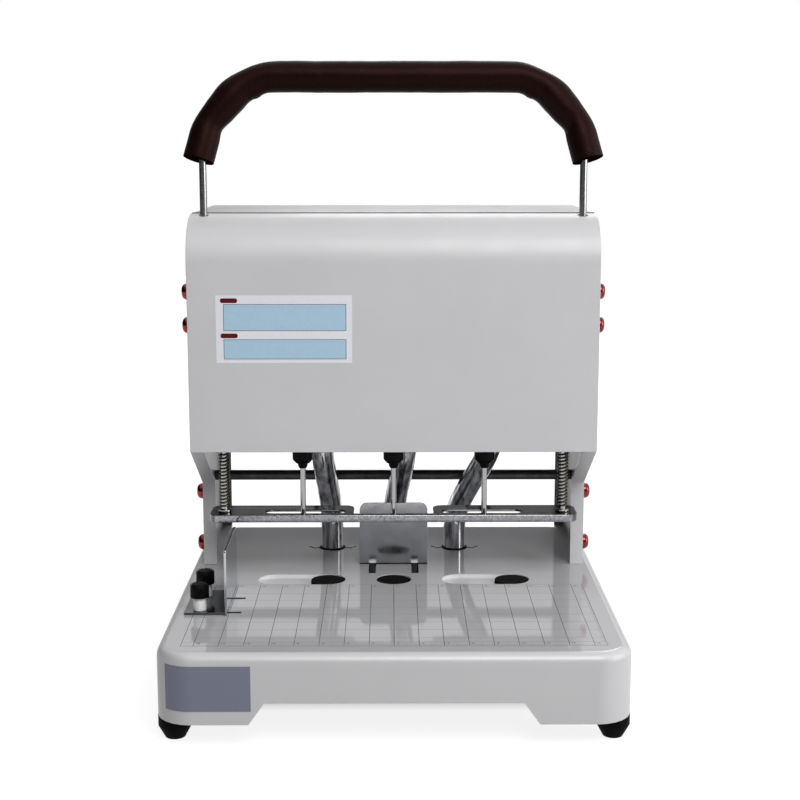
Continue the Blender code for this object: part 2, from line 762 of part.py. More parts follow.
def make_switch(material, root, rocker_body):
    """A framed rocker that tips about a level axis."""
    rim = SWITCH_BEZEL_RIM
    half_x = SWITCH_WIDTH / 2
    half_z = SWITCH_HEIGHT / 2
    face = HEAD_REAR + GAP
    x = (SWITCH_X - half_x, SWITCH_X + half_x)
    z = (SWITCH_Z - half_z, SWITCH_Z + half_z)
    rim_y = (face, face + SWITCH_BEZEL_FRONT)
    bezel = box("switch_bezel", (x[0] - rim, x[1] + rim), rim_y, (z[0] - rim, z[1] + rim))
    join(bezel, box("switch_body", x, (face - SWITCH_DEPTH, face + SWITCH_BEZEL_FRONT / 2), z))
    wall = COVER_SHEET
    inside_x = (x[0] + wall, x[1] - wall)
    inside_z = (z[0] + wall, z[1] - wall)
    cut(bezel, box("switch_well", inside_x, (face - SWITCH_DEPTH + wall, face + SWITCH_DEPTH), inside_z))
    dress(bezel, material, root)
    reach = (inside_z[1] - inside_z[0]) / 2 - SWITCH_PLAY
    outline = [
        (face - SWITCH_DEPTH / 2, SWITCH_Z - reach * ROCKER_ROOT_SHARE),
        (face + ROCKER_TOE_RISE, SWITCH_Z - reach),
        (face + ROCKER_MIDDLE_RISE, SWITCH_Z),
        (face + ROCKER_HEEL_RISE, SWITCH_Z + reach * ROCKER_HEEL_SHARE),
        (face - SWITCH_BEZEL_FRONT, SWITCH_Z + reach * ROCKER_HEEL_SHARE),
        (face - SWITCH_DEPTH / 2, SWITCH_Z + reach * ROCKER_ROOT_SHARE),
    ]
    wide = (inside_x[0] + SWITCH_PLAY, inside_x[1] - SWITCH_PLAY)
    dress(prism("switch_rocker", outline, "X", *wide), material, rocker_body)


def make_inlet(material, root):
    """The recessed socket for the mains lead."""
    half_x = INLET_WIDTH / 2
    half_z = INLET_HEIGHT / 2
    face = HEAD_REAR + GAP
    rim = INLET_RIM
    x = (INLET_X - half_x, INLET_X + half_x)
    z = (INLET_Z - half_z, INLET_Z + half_z)
    inlet = box("power_inlet", (x[0] - rim, x[1] + rim), (face, face + rim), (z[0] - rim, z[1] + rim))
    join(inlet, box("inlet_body", x, (face - INLET_DEPTH, face + rim / 2), z))
    wall = COVER_SHEET
    inside = (face + rim - INLET_RECESS, face + 2 * rim)
    cut(inlet, box("inlet_well", (x[0] + wall, x[1] - wall), inside, (z[0] + wall, z[1] - wall)))
    dress(inlet, material, root)


def make_inner_frame(steel, black, root):
    """The tie rod between the posts, and the beams and columns that guide the yoke."""
    reach = FRAME_INSIDE - GAP
    tie = lying_cylinder("rear_tie_rod", TIE_ROD_Y, TIE_ROD_Z, TIE_ROD_RADIUS, -reach, reach, 1)
    dress(tie, black, root)
    deep = (COLUMN_Y - BEAM_HALF_DEPTH, COLUMN_Y + BEAM_HALF_DEPTH)
    lower = box("lower_cross_beam", (-reach, reach), deep, (LOWER_BEAM_Z, LOWER_BEAM_TOP))
    dress(lower, steel, root)
    upper_z = (UPPER_BEAM_Z, UPPER_BEAM_Z + UPPER_BEAM_HEIGHT)
    dress(box("upper_cross_beam", (-reach, reach), deep, upper_z), steel, root)
    for side in ("left", "right"):
        x = SIDE_SIGN[side] * COLUMN_X
        low = LOWER_BEAM_TOP + GAP
        column = cylinder(f"guide_column_{side}", x, COLUMN_Y, COLUMN_RADIUS, low, UPPER_BEAM_Z - GAP, 16)
        dress(column, steel, root)


def yoke_outline():
    """The yoke's plan, with an arm at each end for the handle."""
    arm_front = BAIL_Y - YOKE_ARM_HALF_WIDTH
    arm_rear = BAIL_Y + YOKE_ARM_HALF_WIDTH
    right = [
        (YOKE_HALF, YOKE_FRONT),
        (YOKE_HALF, arm_front),
        (YOKE_ARM_REACH, arm_front),
        (YOKE_ARM_REACH, arm_rear),
        (YOKE_HALF, arm_rear),
        (YOKE_HALF, YOKE_REAR),
    ]
    return right + mirrored(right)


def make_yoke(material, carriage):
    """The sliding plate, with a bush on each column and a sleeve for each clamp rod."""
    yoke = prism("yoke", yoke_outline(), "Z", YOKE_Z, YOKE_TOP)
    through = (SLEEVE_BOTTOM - BUSH_HEIGHT, YOKE_TOP + 2 * BUSH_HEIGHT)
    for side in ("left", "right"):
        sign = SIDE_SIGN[side]
        x = sign * COLUMN_X
        bush_z = (YOKE_TOP - YOKE_THICKNESS / 2, YOKE_TOP + BUSH_HEIGHT)
        join(yoke, cylinder(f"bush_{side}", x, COLUMN_Y, BUSH_RADIUS, *bush_z, 18))
        rod_x = sign * CLAMP_ROD_X
        sleeve_z = (SLEEVE_BOTTOM, YOKE_Z + YOKE_THICKNESS / 2)
        join(yoke, cylinder(f"sleeve_{side}", rod_x, DRILL_Y, SLEEVE_RADIUS, *sleeve_z, 18))
        column_bore = COLUMN_RADIUS + RUNNING_GAP
        cut(yoke, cylinder(f"column_bore_{side}", x, COLUMN_Y, column_bore, *through, 16))
        rod_bore = CLAMP_ROD_RADIUS + RUNNING_GAP
        cut(yoke, cylinder(f"rod_bore_{side}", rod_x, DRILL_Y, rod_bore, *through, 14))
        bail_x = sign * BAIL_X
        cut(yoke, cylinder(f"bail_bore_{side}", bail_x, BAIL_Y, BAIL_RADIUS + GAP, *through, 12))
        near = DRILL_PITCH - SHIFT_IN
        far = DRILL_PITCH + SHIFT_OUT
        outline = slot_outline(near, far, DRILL_Y, NECK_RADIUS + NECK_PLAY)
        if sign < 0:
            outline = mirrored(outline)
        cut(yoke, prism(f"neck_slot_{side}", outline, "Z", *through))
    middle = slot_outline(-GAP, GAP, DRILL_Y, NECK_RADIUS + NECK_PLAY)
    cut(yoke, prism("neck_hole", middle, "Z", *through))
    dress(yoke, material, carriage)


def make_motor(side, material, body):
    """A hollow-shaft motor hung under the yoke, with an elbow that turns the chips back and down."""
    x = SIDE_SIGN[side] * DRILL_PITCH
    top = YOKE_Z - MOTOR_TO_YOKE
    nut_low = YOKE_TOP + GAP
    profile = [
        (0.0, MOTOR_BOTTOM),
        (MOTOR_RADIUS - MOTOR_EDGE, MOTOR_BOTTOM),
        (MOTOR_RADIUS, MOTOR_BOTTOM + MOTOR_EDGE),
        (MOTOR_RADIUS, top - MOTOR_EDGE),
        (MOTOR_RADIUS - MOTOR_EDGE, top),
        (NUT_RADIUS, top),
        (NUT_RADIUS, YOKE_Z - GAP),
        (NECK_RADIUS, YOKE_Z - GAP),
        (NECK_RADIUS, nut_low),
        (NUT_RADIUS, nut_low),
        (NUT_RADIUS, nut_low + NUT_HEIGHT),
        (ELBOW_RADIUS, nut_low + NUT_HEIGHT),
        (ELBOW_RADIUS, nut_low + 2 * NUT_HEIGHT),
        (0.0, nut_low + 2 * NUT_HEIGHT),
    ]
    motor = turned(f"spindle_motor_{side}", profile, x, DRILL_Y, 20)
    end = (x + HOSE_SIDE_STEP, HOSE_HEAD_Y)
    corners = [
        (x, DRILL_Y, nut_low + NUT_HEIGHT),
        (x, DRILL_Y, ELBOW_Z),
        (*end, ELBOW_Z),
        (*end, ELBOW_END_Z),
    ]
    route = filleted(corners, [0.0, ELBOW_BEND, ELBOW_BEND, 0.0], closed=False)
    join(motor, tube_mesh(f"chip_elbow_{side}", route, ELBOW_RADIUS - GAP, 2))
    dress(motor, material, body)


def make_chuck(side, material, body):
    """A chuck with a cone nose, bored to take the drill."""
    x = SIDE_SIGN[side] * DRILL_PITCH
    bore = DRILL_RADIUS + GAP
    profile = [
        (0.0, CHUCK_NOSE_Z + CHUCK_BORE_DEPTH),
        (bore, CHUCK_NOSE_Z + CHUCK_BORE_DEPTH),
        (bore, CHUCK_NOSE_Z),
        (CHUCK_NOSE_RADIUS, CHUCK_NOSE_Z),
        (CHUCK_RADIUS, CHUCK_NOSE_Z + CHUCK_CONE_HEIGHT),
        (CHUCK_RADIUS, MOTOR_BOTTOM - GAP),
        (0.0, MOTOR_BOTTOM - GAP),
    ]
    dress(turned(f"chuck_{side}", profile, x, DRILL_Y, 20), material, body)


def make_drill(side, material, body):
    """A hollow drill with a bevelled cutting edge."""
    x = SIDE_SIGN[side] * DRILL_PITCH
    top = CHUCK_NOSE_Z + CHUCK_BORE_DEPTH - GAP
    edge = (DRILL_RADIUS + DRILL_BORE_RADIUS) / 2
    profile = [
        (0.0, DRILL_TIP_Z + DRILL_BORE_DEPTH),
        (DRILL_BORE_RADIUS, DRILL_TIP_Z + DRILL_BORE_DEPTH),
        (DRILL_BORE_RADIUS, DRILL_TIP_Z + DRILL_TIP_HEIGHT / 4),
        (edge, DRILL_TIP_Z),
        (DRILL_RADIUS, DRILL_TIP_Z + DRILL_TIP_HEIGHT),
        (DRILL_RADIUS, top),
        (0.0, top),
    ]
    dress(turned(f"drill_{side}", profile, x, DRILL_Y, 14), material, body)


def bail_route():
    """The rod's path from the left arm of the yoke over the grip bar to the right arm."""
    right = [
        (BAIL_BAR_X, BAIL_BAR_Y, BAIL_BAR_Z),
        (BAIL_X, BAIL_Y, BAIL_SHOULDER_Z),
        (BAIL_X, BAIL_Y, YOKE_Z + GAP),
    ]
    left = [(-x, y, z) for x, y, z in reversed(right)]
    bends = [0.0, BAIL_LOWER_BEND, BAIL_UPPER_BEND]
    return filleted(left + right, bends + bends[::-1], closed=False)


def grip_route():
    right = [
        (BAIL_BAR_X, BAIL_BAR_Y, BAIL_BAR_Z),
        (GRIP_KNEE_X, GRIP_KNEE_Y, GRIP_KNEE_Z),
        (GRIP_END_X, GRIP_END_Y, GRIP_END_Z),
    ]
    left = [(-x, y, z) for x, y, z in reversed(right)]
    bends = [0.0, BAIL_LOWER_BEND, BAIL_UPPER_BEND]
    return filleted(left + right, bends + bends[::-1], closed=False)


def make_handle(steel, foam, carriage):
    """A bent steel bail, and the foam sleeve on its bar and shoulders."""
    dress(tube("handle_bail", bail_route(), BAIL_RADIUS, 4), steel, carriage)
    grip = tube_mesh("handle_grip", grip_route(), GRIP_RADIUS, 5)
    cut(grip, tube_mesh("grip_bore", bail_route(), BAIL_RADIUS + GRIP_BORE_PLAY, 2))
    dress(grip, foam, carriage)


def clamp_outline():
    """The clamp plate's plan: a front strip with a wide lobe at each side."""
    right = [
        (CLAMP_HALF, CLAMP_FRONT),
        (CLAMP_HALF, CLAMP_REAR),
        (CLAMP_GAP_HALF, CLAMP_REAR),
        (CLAMP_GAP_HALF, CLAMP_STRIP_REAR),
    ]
    bends = [CLAMP_FRONT_CORNER, CLAMP_CORNER, CLAMP_CORNER, CLAMP_CORNER / 4]
    return filleted(right + mirrored(right), bends + bends[::-1])


def lip_outline(inset):
    """The plan of the front lip, which follows both front corners and ends behind them."""
    half = CLAMP_HALF - inset
    front = CLAMP_FRONT + inset
    rear = CLAMP_FRONT + CLAMP_FRONT_CORNER + CLAMP_LIP_RUN + inset
    corner = CLAMP_FRONT_CORNER - inset
    corners = [(-half, front), (half, front), (half, rear), (-half, rear)]
    return filleted(corners, [corner, corner, 0.0, 0.0])


def make_clamp(zinc, steel, body):
    """The clamp plate with its front lip, and the rods that slide in the yoke's sleeves."""
    low = CLAMP_TOP - CLAMP_SHEET
    plate = prism("clamp_plate", clamp_outline(), "Z", low, CLAMP_TOP)
    lip = prism("clamp_lip", lip_outline(0.0), "Z", CLAMP_BOTTOM, low + CLAMP_SHEET / 2)
    cut(lip, prism("lip_inside", lip_outline(CLAMP_SHEET), "Z", CLAMP_BOTTOM - CLAMP_LIP, low + CLAMP_LIP))
    join(plate, lip)
    slot = slot_outline(CLAMP_SLOT_NEAR, CLAMP_SLOT_FAR, DRILL_Y, CLAMP_SLOT_RADIUS)
    for side, outline in (("right", slot), ("left", mirrored(slot))):
        cut(plate, prism(f"clamp_slot_{side}", outline, "Z", CLAMP_BOTTOM, CLAMP_TOP + CLAMP_SHEET))
    dress(plate, zinc, body)
    foot = CLAMP_TOP + GAP
    profile = [
        (0.0, foot),
        (CLAMP_WASHER_RADIUS, foot),
        (CLAMP_WASHER_RADIUS, foot + CLAMP_WASHER_HEIGHT),
        (CLAMP_ROD_RADIUS, foot + CLAMP_WASHER_HEIGHT),
        (CLAMP_ROD_RADIUS, CLAMP_ROD_TOP),
        (0.0, CLAMP_ROD_TOP),
    ]
    for side in ("left", "right"):
        rod = turned(f"clamp_rod_{side}", profile, SIDE_SIGN[side] * CLAMP_ROD_X, DRILL_Y, 16)
        dress(rod, steel, body)


def helix(x, y, radius, low, high, turns, lead):
    """Points along a coil, with a short straight lead at each end."""
    count = turns * POINTS_PER_TURN
    points = []
    for step in range(count + 1):
        turn = math.tau * step / POINTS_PER_TURN
        z = low + (high - low) * step / count
        points.append(Vector((x + radius * math.cos(turn), y + radius * math.sin(turn), z)))
    along = Vector((0.0, 1.0, 0.0))
    start = points[0] - along * lead
    end = points[-1] + along * lead
    return [start, *points, end]


def least_coil_gap(points, wire):
    """The least open distance between neighbouring curls, measured from point to segment."""
    least = math.inf
    half_turn = POINTS_PER_TURN // 2
    for index, point in enumerate(points):
        for other in range(index + half_turn, len(points) - 1):
            first = points[other]
            run = points[other + 1] - first
            share = max(0.0, min(1.0, (point - first).dot(run) / run.length_squared))
            least = min(least, (point - first - run * share).length)
    return least - 2 * wire


def make_springs(zinc, root, carriage):
    """A clamp spring on each clamp rod, and a return spring on each column."""
    plans = (
        (
            "clamp_spring",
            carriage,
            CLAMP_ROD_X,
            DRILL_Y,
            CLAMP_SPRING_RADIUS,
            CLAMP_SPRING_WIRE,
            CLAMP_SPRING_TURNS,
            CLAMP_TOP + GAP + CLAMP_WASHER_HEIGHT,
            SLEEVE_BOTTOM,
        ),
        (
            "return_spring",
            root,
            COLUMN_X,
            COLUMN_Y,
            RETURN_SPRING_RADIUS,
            RETURN_SPRING_WIRE,
            RETURN_SPRING_TURNS,
            LOWER_BEAM_TOP,
            YOKE_Z,
        ),
    )
    for name, body, x, y, radius, wire, turns, low, high in plans:
        for side in ("left", "right"):
            seat = wire + GAP
            place = SIDE_SIGN[side] * x
            points = helix(place, y, radius, low + seat, high - seat, turns, 2 * wire)
            coil = tube(f"{name}_{side}", points, wire, 1)
            dress(coil, zinc, body)
        print(f"{name}: least gap between curls {least_coil_gap(points, wire) * 1000:.2f} mm")


def hose_route(side):
    """Down behind the carriage, across to its hole in the base, and into the tray."""
    head_x = SIDE_SIGN[side] * DRILL_PITCH + HOSE_SIDE_STEP
    base_x = SIDE_SIGN[side] * HOSE_BASE_X
    points = [(head_x, HOSE_HEAD_Y, ELBOW_END_Z - GAP)]
    for step in range(HOSE_STEPS + 1):
        share = step / HOSE_STEPS
        ease = share * share * (3 - 2 * share)
        x = head_x + (base_x - head_x) * ease
        y = HOSE_HEAD_Y + (HOSE_BASE_Y - HOSE_HEAD_Y) * ease
        points.append((x, y, HOSE_CURVED_TO + (HOSE_STRAIGHT_TO - HOSE_CURVED_TO) * share))
    points.append((base_x, HOSE_BASE_Y, HOSE_END_Z))
    return points


def make_hoses(material, root):
    for side in SIDES:
        dress(tube(f"chip_hose_{side}", hose_route(side), HOSE_RADIUS, 3), material, root)


def make_tray(material, body):
    """An open tray that pulls out at the rear, with a finger notch in its face."""
    rear = BASE_DEPTH / 2 - TRAY_FACE_THICKNESS - GAP
    top = TRAY_BOTTOM + TRAY_HEIGHT
    tray = box("chip_tray", (-TRAY_HALF, TRAY_HALF), (TRAY_FRONT, rear), (TRAY_BOTTOM, top))
    inner = TRAY_HALF - TRAY_WALL
    face_y = (rear - TRAY_WALL / 2, rear + TRAY_FACE_THICKNESS)
    face_z = (TRAY_BOTTOM, TRAY_BOTTOM + TRAY_FACE_HEIGHT)
    join(tray, box("tray_face", (-TRAY_HALF, TRAY_HALF), face_y, face_z))
    hollow_y = (TRAY_FRONT + TRAY_WALL, rear - TRAY_WALL)
    cut(tray, box("tray_hollow", (-inner, inner), hollow_y, (TRAY_BOTTOM + TRAY_WALL, top + TRAY_HEIGHT)))
    pull = []
    for step in range(13):
        turn = math.pi + math.pi * step / 12
        lift = TRAY_BOTTOM + TRAY_FACE_HEIGHT
        pull.append((TRAY_PULL_RADIUS * math.cos(turn), lift + TRAY_PULL_RADIUS * math.sin(turn)))
    pull += [(TRAY_PULL_RADIUS, top + TRAY_HEIGHT), (-TRAY_PULL_RADIUS, top + TRAY_HEIGHT)]
    cut(tray, prism("tray_pull", pull, "Y", rear - 2 * TRAY_WALL, rear + 2 * TRAY_FACE_THICKNESS))
    dress(tray, material, body)


def make_back_stop(material, body):
    """A bent sheet whose tabs slide in two slots in the base."""
    floor = BASE_TOP + GAP
    corners = [
        (-STOP_HALF, floor),
        (STOP_HALF, floor),
        (STOP_HALF, floor + STOP_HEIGHT),
        (-STOP_HALF, floor + STOP_HEIGHT),
    ]
    outline = filleted(corners, [0.0, 0.0, STOP_CORNER, STOP_CORNER])
    stop = prism("back_stop", outline, "Y", STOP_Y, STOP_Y + STOP_SHEET)
    foot_y = (STOP_Y + STOP_SHEET / 2, STOP_Y + STOP_FOOT_DEPTH)
    join(stop, box("stop_foot", (-STOP_HALF, STOP_HALF), foot_y, (floor, floor + STOP_SHEET)))
    for sign in (-1, 1):
        wide = (sign * STOP_TAB_X - STOP_TAB_HALF, sign * STOP_TAB_X + STOP_TAB_HALF)
        tab_z = (BASE_TOP - STOP_TAB_DROP, floor + STOP_SHEET)
        join(stop, box(f"stop_tab_{sign}", wide, (STOP_Y, STOP_Y + STOP_SHEET), tab_z))
    dress(stop, material, body)


def make_side_guide(zinc, black, body, knob_bodies):
    """An upright sheet with a foot, held down by two thumb knobs whose studs run in slots."""
    floor = BASE_TOP + GAP
    corners = [
        (GUIDE_FRONT, floor),
        (GUIDE_REAR, floor),
        (GUIDE_REAR, floor + GUIDE_HEIGHT),
        (GUIDE_FRONT, floor + GUIDE_HEIGHT),
    ]
    outline = filleted(corners, [0.0, 0.0, GUIDE_CORNER, GUIDE_CORNER / 3])
    guide = prism("side_guide", outline, "X", GUIDE_X - GUIDE_SHEET, GUIDE_X)
    foot_x = (GUIDE_FOOT_LEFT, GUIDE_X - GUIDE_SHEET / 2)
    foot_y = (GUIDE_FOOT_FRONT, GUIDE_FOOT_REAR)
    join(guide, box("guide_foot", foot_x, foot_y, (floor, floor + GUIDE_SHEET)))
    for side, y in KNOB_Y.items():
        stud_z = (floor - GUIDE_SHEET, floor + 2 * GUIDE_SHEET)
        cut(guide, cylinder(f"stud_hole_{side}", KNOB_X, y, KNOB_STUD_RADIUS + GAP, *stud_z, 12))
    dress(guide, zinc, body)
    seat = floor + GUIDE_SHEET + GAP
    cap = seat + KNOB_SPACER_HEIGHT
    top = cap + KNOB_HEIGHT
    profile = [
        (0.0, BASE_TOP - KNOB_STUD_DROP),
        (KNOB_STUD_RADIUS, BASE_TOP - KNOB_STUD_DROP),
        (KNOB_STUD_RADIUS, seat),
        (KNOB_SPACER_RADIUS, seat),
        (KNOB_SPACER_RADIUS, cap),
        (KNOB_RADIUS - KNOB_EDGE, cap),
        (KNOB_RADIUS, cap + KNOB_EDGE),
        (KNOB_RADIUS, top - KNOB_EDGE),
        (KNOB_RADIUS - KNOB_EDGE, top),
        (0.0, top),
    ]
    for side, y in KNOB_Y.items():
        dress(turned(f"thumb_knob_{side}", profile, KNOB_X, y, 16), black, knob_bodies[side])


def main():
    clear_scene()
    enamel = paint("enamel", (0.58, 0.58, 0.59), 0.30, 0.0)
    rubber = paint("black_rubber", (0.01, 0.01, 0.01), 0.65, 0.0)
    plastic = paint("black_plastic", (0.025, 0.025, 0.027), 0.40, 0.0)
    zinc = paint("zinc_sheet", (0.55, 0.57, 0.58), 0.30, 1.0)
    steel = paint("bright_steel", (0.75, 0.75, 0.76), 0.16, 1.0)
    red = paint("red_anodised", (0.35, 0.02, 0.02), 0.30, 0.8)
    foam = paint("brown_foam", (0.02, 0.007, 0.006), 0.60, 0.0)
    motor_grey = paint("motor_casing", (0.20, 0.21, 0.22), 0.45, 0.6)
    hose_grey = paint("grey_hose", (0.40, 0.40, 0.42), 0.26, 0.6)

    root = pivot("paper_drill", (0.0, 0.0, 0.0))
    carriage = pivot("carriage", (0.0, DRILL_Y, YOKE_Z), root)
    clamp = pivot("clamp", (0.0, DRILL_Y, CLAMP_TOP), carriage)
    stop = pivot("stop_body", (0.0, STOP_Y, BASE_TOP), root)
    guide = pivot("guide_body", (GUIDE_X, GUIDE_FRONT, BASE_TOP), root)
    tray = pivot("tray_body", (0.0, TRAY_FRONT, TRAY_BOTTOM), root)
    rocker = pivot("rocker_body", (SWITCH_X, HEAD_REAR, SWITCH_Z), root)
    knobs = {side: pivot(f"knob_{side}", (KNOB_X, y, BASE_TOP), guide) for side, y in KNOB_Y.items()}
    pads = {
        "left": pivot("pad_left", (-PAD_NEAR_X, DRILL_Y, BASE_TOP), root),
        "centre": root,
        "right": pivot("pad_right", (PAD_FAR_X, DRILL_Y, BASE_TOP), root),
    }

    make_base(enamel, root)
    make_feet(rubber, root)
    make_pads(plastic, pads)
    make_side_frames(enamel, root)
    make_screws(red, root)
    make_covers(enamel, root)
    make_switch(plastic, root, rocker)
    make_inlet(plastic, root)
    make_inner_frame(steel, plastic, root)
    make_yoke(steel, carriage)
    make_handle(steel, foam, carriage)
    for side in SIDES:
        x = SIDE_SIGN[side] * DRILL_PITCH
        unit = carriage
        if SIDE_SIGN[side]:
            unit = pivot(f"spindle_{side}", (x, DRILL_Y, YOKE_Z), carriage)
        spin = pivot(f"spin_{side}", (x, DRILL_Y, CHUCK_NOSE_Z), unit)
        make_motor(side, motor_grey, unit)
        make_chuck(side, plastic, spin)
        make_drill(side, steel, spin)
    make_clamp(zinc, steel, clamp)
    make_springs(zinc, root, carriage)
    make_hoses(hose_grey, root)
    make_tray(plastic, tray)
    make_back_stop(zinc, stop)
    make_side_guide(zinc, plastic, guide, knobs)


main()
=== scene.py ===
# %% [markdown]
# A desk paper drill, dressed for a studio picture.
# The machine's solids arrive as a fixed frame. This lesson gives every solid its finish, and models
# the pieces that a plain solid can't show: the foam grip, coil springs, hoses, knobs, screws and print.

# %% Load the frame
import math

import bpy
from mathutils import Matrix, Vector


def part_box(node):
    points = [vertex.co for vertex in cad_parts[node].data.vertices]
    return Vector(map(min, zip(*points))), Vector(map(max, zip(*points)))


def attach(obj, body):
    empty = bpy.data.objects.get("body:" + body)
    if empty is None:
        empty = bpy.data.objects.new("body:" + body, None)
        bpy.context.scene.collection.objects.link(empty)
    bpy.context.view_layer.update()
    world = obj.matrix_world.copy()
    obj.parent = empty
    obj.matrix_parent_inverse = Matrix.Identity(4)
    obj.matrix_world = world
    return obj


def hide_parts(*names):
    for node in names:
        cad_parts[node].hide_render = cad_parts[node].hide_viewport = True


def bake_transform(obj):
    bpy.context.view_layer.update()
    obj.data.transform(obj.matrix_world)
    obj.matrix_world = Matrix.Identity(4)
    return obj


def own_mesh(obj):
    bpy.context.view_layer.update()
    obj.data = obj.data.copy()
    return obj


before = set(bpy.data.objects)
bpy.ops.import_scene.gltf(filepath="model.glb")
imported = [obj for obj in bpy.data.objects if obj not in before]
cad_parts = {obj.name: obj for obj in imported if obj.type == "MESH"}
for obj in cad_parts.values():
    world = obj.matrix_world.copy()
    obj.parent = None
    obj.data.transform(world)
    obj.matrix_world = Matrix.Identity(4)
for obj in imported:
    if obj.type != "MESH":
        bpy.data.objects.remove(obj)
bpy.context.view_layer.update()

# %% [markdown]
# The camera stands where the photographer stood. The squares of the grid printed on the base are taken
# as 20 mm, and the camera's height, tilt and lens follow from them. It is turned a little to the right,
# which centres the machine.

# %% Camera
PICTURE_WIDTH = 800
SENSOR_WIDTH = 36.0
FOCAL_PIXELS = 1497
CAMERA_PLACE = (-0.003, -1.3177, 0.4724)
CAMERA_TILT_DOWN = 9.82
CAMERA_TURN_RIGHT = 0.38

bpy.ops.object.select_all(action="DESELECT")
tilt = (math.radians(90 - CAMERA_TILT_DOWN), 0.0, math.radians(-CAMERA_TURN_RIGHT))
bpy.ops.object.camera_add(location=CAMERA_PLACE, rotation=tilt)
camera = bpy.context.object
camera.data.sensor_width = SENSOR_WIDTH
camera.data.lens = SENSOR_WIDTH * FOCAL_PIXELS / PICTURE_WIDTH
bpy.context.scene.camera = camera
bpy.context.scene.view_settings.view_transform = "Standard"
print("lens", round(camera.data.lens, 1), "mm")

# %% [markdown]
# Every finish starts from one shader and then gets its own grain. A real surface is never one flat
# colour: paint has orange peel, zinc has crystals, foam has pores. The helpers read the object's own
# coordinates in metres, so a scale of 500 makes marks about 2 mm wide.

# %% Helpers for finishes


class Finish:
    """A material with its shader, and short ways to add grain to it."""

    def __init__(self, name, colour, roughness, metallic=0.0):
        self.material = bpy.data.materials.new(name)
        self.material.use_nodes = True
        self.nodes = self.material.node_tree.nodes
        self.links = self.material.node_tree.links
        self.shader = self.nodes["Principled BSDF"]
        self.colour = colour
        self.set("Base Color", (*colour, 1.0))
        self.set("Roughness", roughness)
        self.set("Metallic", metallic)
        self.place = self.nodes.new("ShaderNodeTexCoord").outputs["Object"]
        self.height = None

    def set(self, socket, value):
        self.shader.inputs[socket].default_value = value

    def stretched(self, stretch):
        """Coordinates drawn out along an axis, for brush marks."""
        mapping = self.nodes.new("ShaderNodeMapping")
        mapping.inputs["Scale"].default_value = stretch
        self.links.new(self.place, mapping.inputs["Vector"])
        return mapping.outputs["Vector"]

    def noise(self, scale, detail=3.0, stretch=(1.0, 1.0, 1.0)):
        texture = self.nodes.new("ShaderNodeTexNoise")
        texture.inputs["Scale"].default_value = scale
        texture.inputs["Detail"].default_value = detail
        self.links.new(self.stretched(stretch), texture.inputs["Vector"])
        return texture.outputs["Fac"]

    def cells(self, scale, output="Distance"):
        texture = self.nodes.new("ShaderNodeTexVoronoi")
        texture.inputs["Scale"].default_value = scale
        self.links.new(self.place, texture.inputs["Vector"])
        return texture.outputs[output]

    def maths(self, operation, first, second=None):
        """One sum on two values, each a socket or a plain number."""
        node = self.nodes.new("ShaderNodeMath")
        node.operation = operation
        for socket, value in zip(node.inputs, (first, second)):
            if isinstance(value, (int, float)):
                socket.default_value = value
            elif value is not None:
                self.links.new(value, socket)
        return node.outputs[0]

    def inside_block(self, low, high, soft=0.0):
        """One inside a block of space, and none outside it, with a soft or a sharp edge."""
        middle = (Vector(low) + Vector(high)) / 2
        half = (Vector(high) - Vector(low)) / 2
        offset = self.nodes.new("ShaderNodeVectorMath")
        offset.operation = "SUBTRACT"
        offset.inputs[1].default_value = middle
        self.links.new(self.place, offset.inputs[0])
        parts = self.nodes.new("ShaderNodeSeparateXYZ")
        self.links.new(offset.outputs["Vector"], parts.inputs["Vector"])
        mask = None
        for axis, limit in zip("XYZ", half):
            distance = self.maths("ABSOLUTE", parts.outputs[axis])
            if soft:
                test = self.map_range(distance, (limit - soft, limit), (1.0, 0.0))
            else:
                test = self.maths("LESS_THAN", distance, limit)
            mask = test if mask is None else self.maths("MULTIPLY", mask, test)
        return mask

    def map_range(self, value, before, after):
        """Map one range of a value onto another, and hold it there."""
        ranged = self.nodes.new("ShaderNodeMapRange")
        limits = zip(("From Min", "From Max", "To Min", "To Max"), (*before, *after))
        for socket, limit in limits:
            ranged.inputs[socket].default_value = limit
        self.links.new(value, ranged.inputs["Value"])
        return ranged.outputs["Result"]

    def between(self, value, low, high):
        """Map the middle half of a noise onto a range."""
        return self.map_range(value, (0.25, 0.75), (low, high))

    def vary_colour(self, value, darker, lighter):
        """Let a pattern move the colour between two tones of itself."""
        ramp = self.nodes.new("ShaderNodeValToRGB")
        ramp.color_ramp.elements[0].position = 0.3
        ramp.color_ramp.elements[1].position = 0.7
        ramp.color_ramp.elements[0].color = (*[part * darker for part in self.colour], 1.0)
        ramp.color_ramp.elements[1].color = (*[part * lighter for part in self.colour], 1.0)
        self.links.new(value, ramp.inputs["Fac"])
        self.links.new(ramp.outputs["Color"], self.shader.inputs["Base Color"])

    def cover_colour(self, mask, colour):
        """Lay one plain colour over the paint where a mask is one."""
        mix = self.nodes.new("ShaderNodeMix")
        mix.data_type = "RGBA"
        paint = self.shader.inputs["Base Color"].links[0].from_socket
        self.links.new(mask, mix.inputs["Factor"])
        self.links.new(paint, mix.inputs["A"])
        mix.inputs["B"].default_value = colour
        self.links.new(mix.outputs["Result"], self.shader.inputs["Base Color"])

    def vary_roughness(self, value, low, high):
        self.links.new(self.between(value, low, high), self.shader.inputs["Roughness"])

    def bump(self, value, depth, strength=1.0):
        """Raise the surface by a pattern. Bumps add up."""
        relief = self.nodes.new("ShaderNodeBump")
        relief.inputs["Distance"].default_value = depth
        relief.inputs["Strength"].default_value = strength
        self.links.new(value, relief.inputs["Height"])
        if self.height is not None:
            self.links.new(self.height, relief.inputs["Normal"])
        self.height = relief.outputs["Normal"]
        self.links.new(self.height, self.shader.inputs["Normal"])


print("finish helpers ready")

